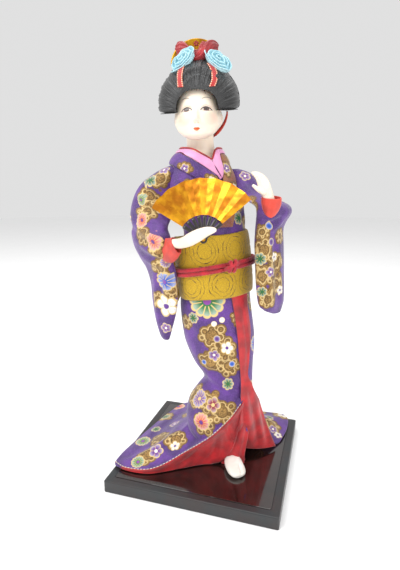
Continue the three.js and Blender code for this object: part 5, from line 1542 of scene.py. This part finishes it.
def fan_leaf():
    panels, per = PLEAT["panels"], PLEAT["per"]
    k = np.linspace(0, panels, panels * per + 1)[None]
    r = np.linspace(FAN["inner"], FAN["radius"], 40)[:, None]
    w = np.radians(FAN["from"] + (FAN["to"] - FAN["from"]) * k / panels)
    saw = 2 * np.abs(k % 2 - 1) - 1
    depth = -saw * PLEAT["depth"] * r / FAN["radius"] + 0.08 * np.sin(r * 0.9 + k * 2.1)
    sheet = Sheet(into_head(np.stack([r * np.cos(w), r * np.sin(w), depth + 0 * w], -1), FAN_AXES)[:, ::-1])
    points, faces = joined([sheet])
    made = mesh("fan_leaf_fine", points, faces, LEAF, ["fan_leaf"], flat=True)
    thicken(made, PLEAT["paper"], 0)


def fan_sticks():
    count = PLEAT["panels"] // 2 + 1
    blades = []
    for i in range(count):
        w = math.radians(FAN["from"] + 2 + (FAN["to"] - FAN["from"] - 4) * i / (count - 1))
        ahead = np.array([math.cos(w), math.sin(w), 0])
        rows = [[*(ahead * r), wide, 0.5] for r, wide in ((-2.2, 1.4), (0, 1.6), (6, 1.15), (15.2, 1.35))]
        blade = tube(rows, 12, 5, (-ahead[1], ahead[0], 0))
        blade.points = into_head(blade.points + np.array([0, 0, 0.1 * (i % 2)]), FAN_AXES)
        blades.append(blade)
    points, faces = joined(blades)
    mesh("fan_sticks_fine", points, faces, WOOD, ["fan_sticks"])


def fan_rivet():
    w = np.linspace(0, 2 * math.pi, 28, endpoint=False)
    rings = [(1.3, 0.6), (1.45, 1.0), (1.2, 1.5), (0.7, 1.8), (0.05, 1.9)]
    grid = [np.stack([r * np.cos(w), r * np.sin(w), z + 0 * w], -1) for r, z in rings]
    points, faces = joined([Sheet(into_head(np.array(grid), FAN_AXES), wrap=True)])
    mesh("fan_rivet_fine", points, faces, GILT, ["fan_rivet"])


def studio():
    """A pale floor, a soft key from the viewer's left and a fill from the right."""
    w = np.linspace(0, 2 * math.pi, 48, endpoint=False)
    rim = np.stack([3 * np.cos(w), 3 * np.sin(w), 0 * w], -1)
    floor = bpy.data.meshes.new("floor")
    floor.from_pydata(rim.tolist(), [], [list(range(48))])
    plane = bpy.data.objects.new("floor", floor)
    look = Look("floor", 0.8)
    floor.materials.append(look.finish(look.mix(look.noise(look.place(), 60), colour("f7f7f7"), colour("fbfbfb"))))
    bpy.context.scene.collection.objects.link(plane)
    for name, at, size, power in (("key", (-0.55, -0.75, 0.95), 0.7, 11), ("fill", (0.8, -0.6, 0.5), 0.8, 4),
                                  ("top", (0.0, 0.2, 1.2), 0.9, 6)):
        data = bpy.data.lights.new(name, "AREA")
        data.size = size
        data.energy = power
        lamp = bpy.data.objects.new(name, data)
        lamp.location = at
        lamp.rotation_euler = (Vector(at) - Vector((0, 0, 0.15))).to_track_quat("Z", "Y").to_euler()
        bpy.context.scene.collection.objects.link(lamp)
    world = bpy.data.worlds.new("studio")
    world.use_nodes = True
    world.node_tree.nodes["Background"].inputs[0].default_value = (1, 1, 1, 1)
    world.node_tree.nodes["Background"].inputs[1].default_value = 0.75
    bpy.context.scene.world = world
    bpy.context.scene.view_settings.view_transform = "Standard"


BROCADE = brocade("brocade", "5a2a86", "3c1a62")
RED = satin("red_satin", "c4121c", "8e0c16")
CORAL = satin("coral_satin", "d8402c", "b02a20")
GARNET = satin("garnet_satin", "b0121c", "7c0a14")
PINK = satin("pink_satin", "eaa6cf", "dd8fbe", 0.45)
ORANGE = brocade("collar_brocade", "a06a1c", "7a4410")
BLUE = satin("blue_satin", "bfe2e8", "9fcfdb", 0.3)
COTTON = satin("cotton", "f0ece4", "dcd6cc", 0.8)
ROPE = satin("rope", "c8162c", "93101f", 0.6)
SASH_CLOTH = sash_look()
SKIN = plain_skin()
PAINTED = painted_skin()
HAIR = hair_look()
GILT = gilt("gilt", "d6a422", "a8700c", flecks=False)
LEAF = gilt("fan_paper", "d99a1a", "b06a0c", 0.32)
STRIP = strip_look()
WOOD = lacquer("black_wood", "0e0c0b", 0.3, 0.4)

camera()
studio()
stand()
skirt()
selvedge()
lining()
front_band()
underskirt()
bodice()
collar("collar_edge", RED, 0.2)
collar("collar_inner_right", PINK, 0.5)
collar("collar_inner_left", PINK, 0.5)
collar("collar_outer_right", BROCADE, 0.8, 51)
collar("collar_outer_left", ORANGE, 0.8, 52)
for sleeve_node in SLEEVES:
    sleeve(sleeve_node)
cuffs()
hands()
foot()
sash()
cord()
bow_loop("sash_bow_right", BOW_RIGHT, -1)
bow_loop("sash_bow_left", BOW_LEFT, 1)
bow_knot()
head()
hair()
wisps()
comb()
for one in ROSES:
    rose(*one)
hair_ribbon()
for strip_node in STRIPS:
    hair_strip(strip_node)
nape_ribbon()
fan_leaf()
fan_sticks()
fan_rivet()
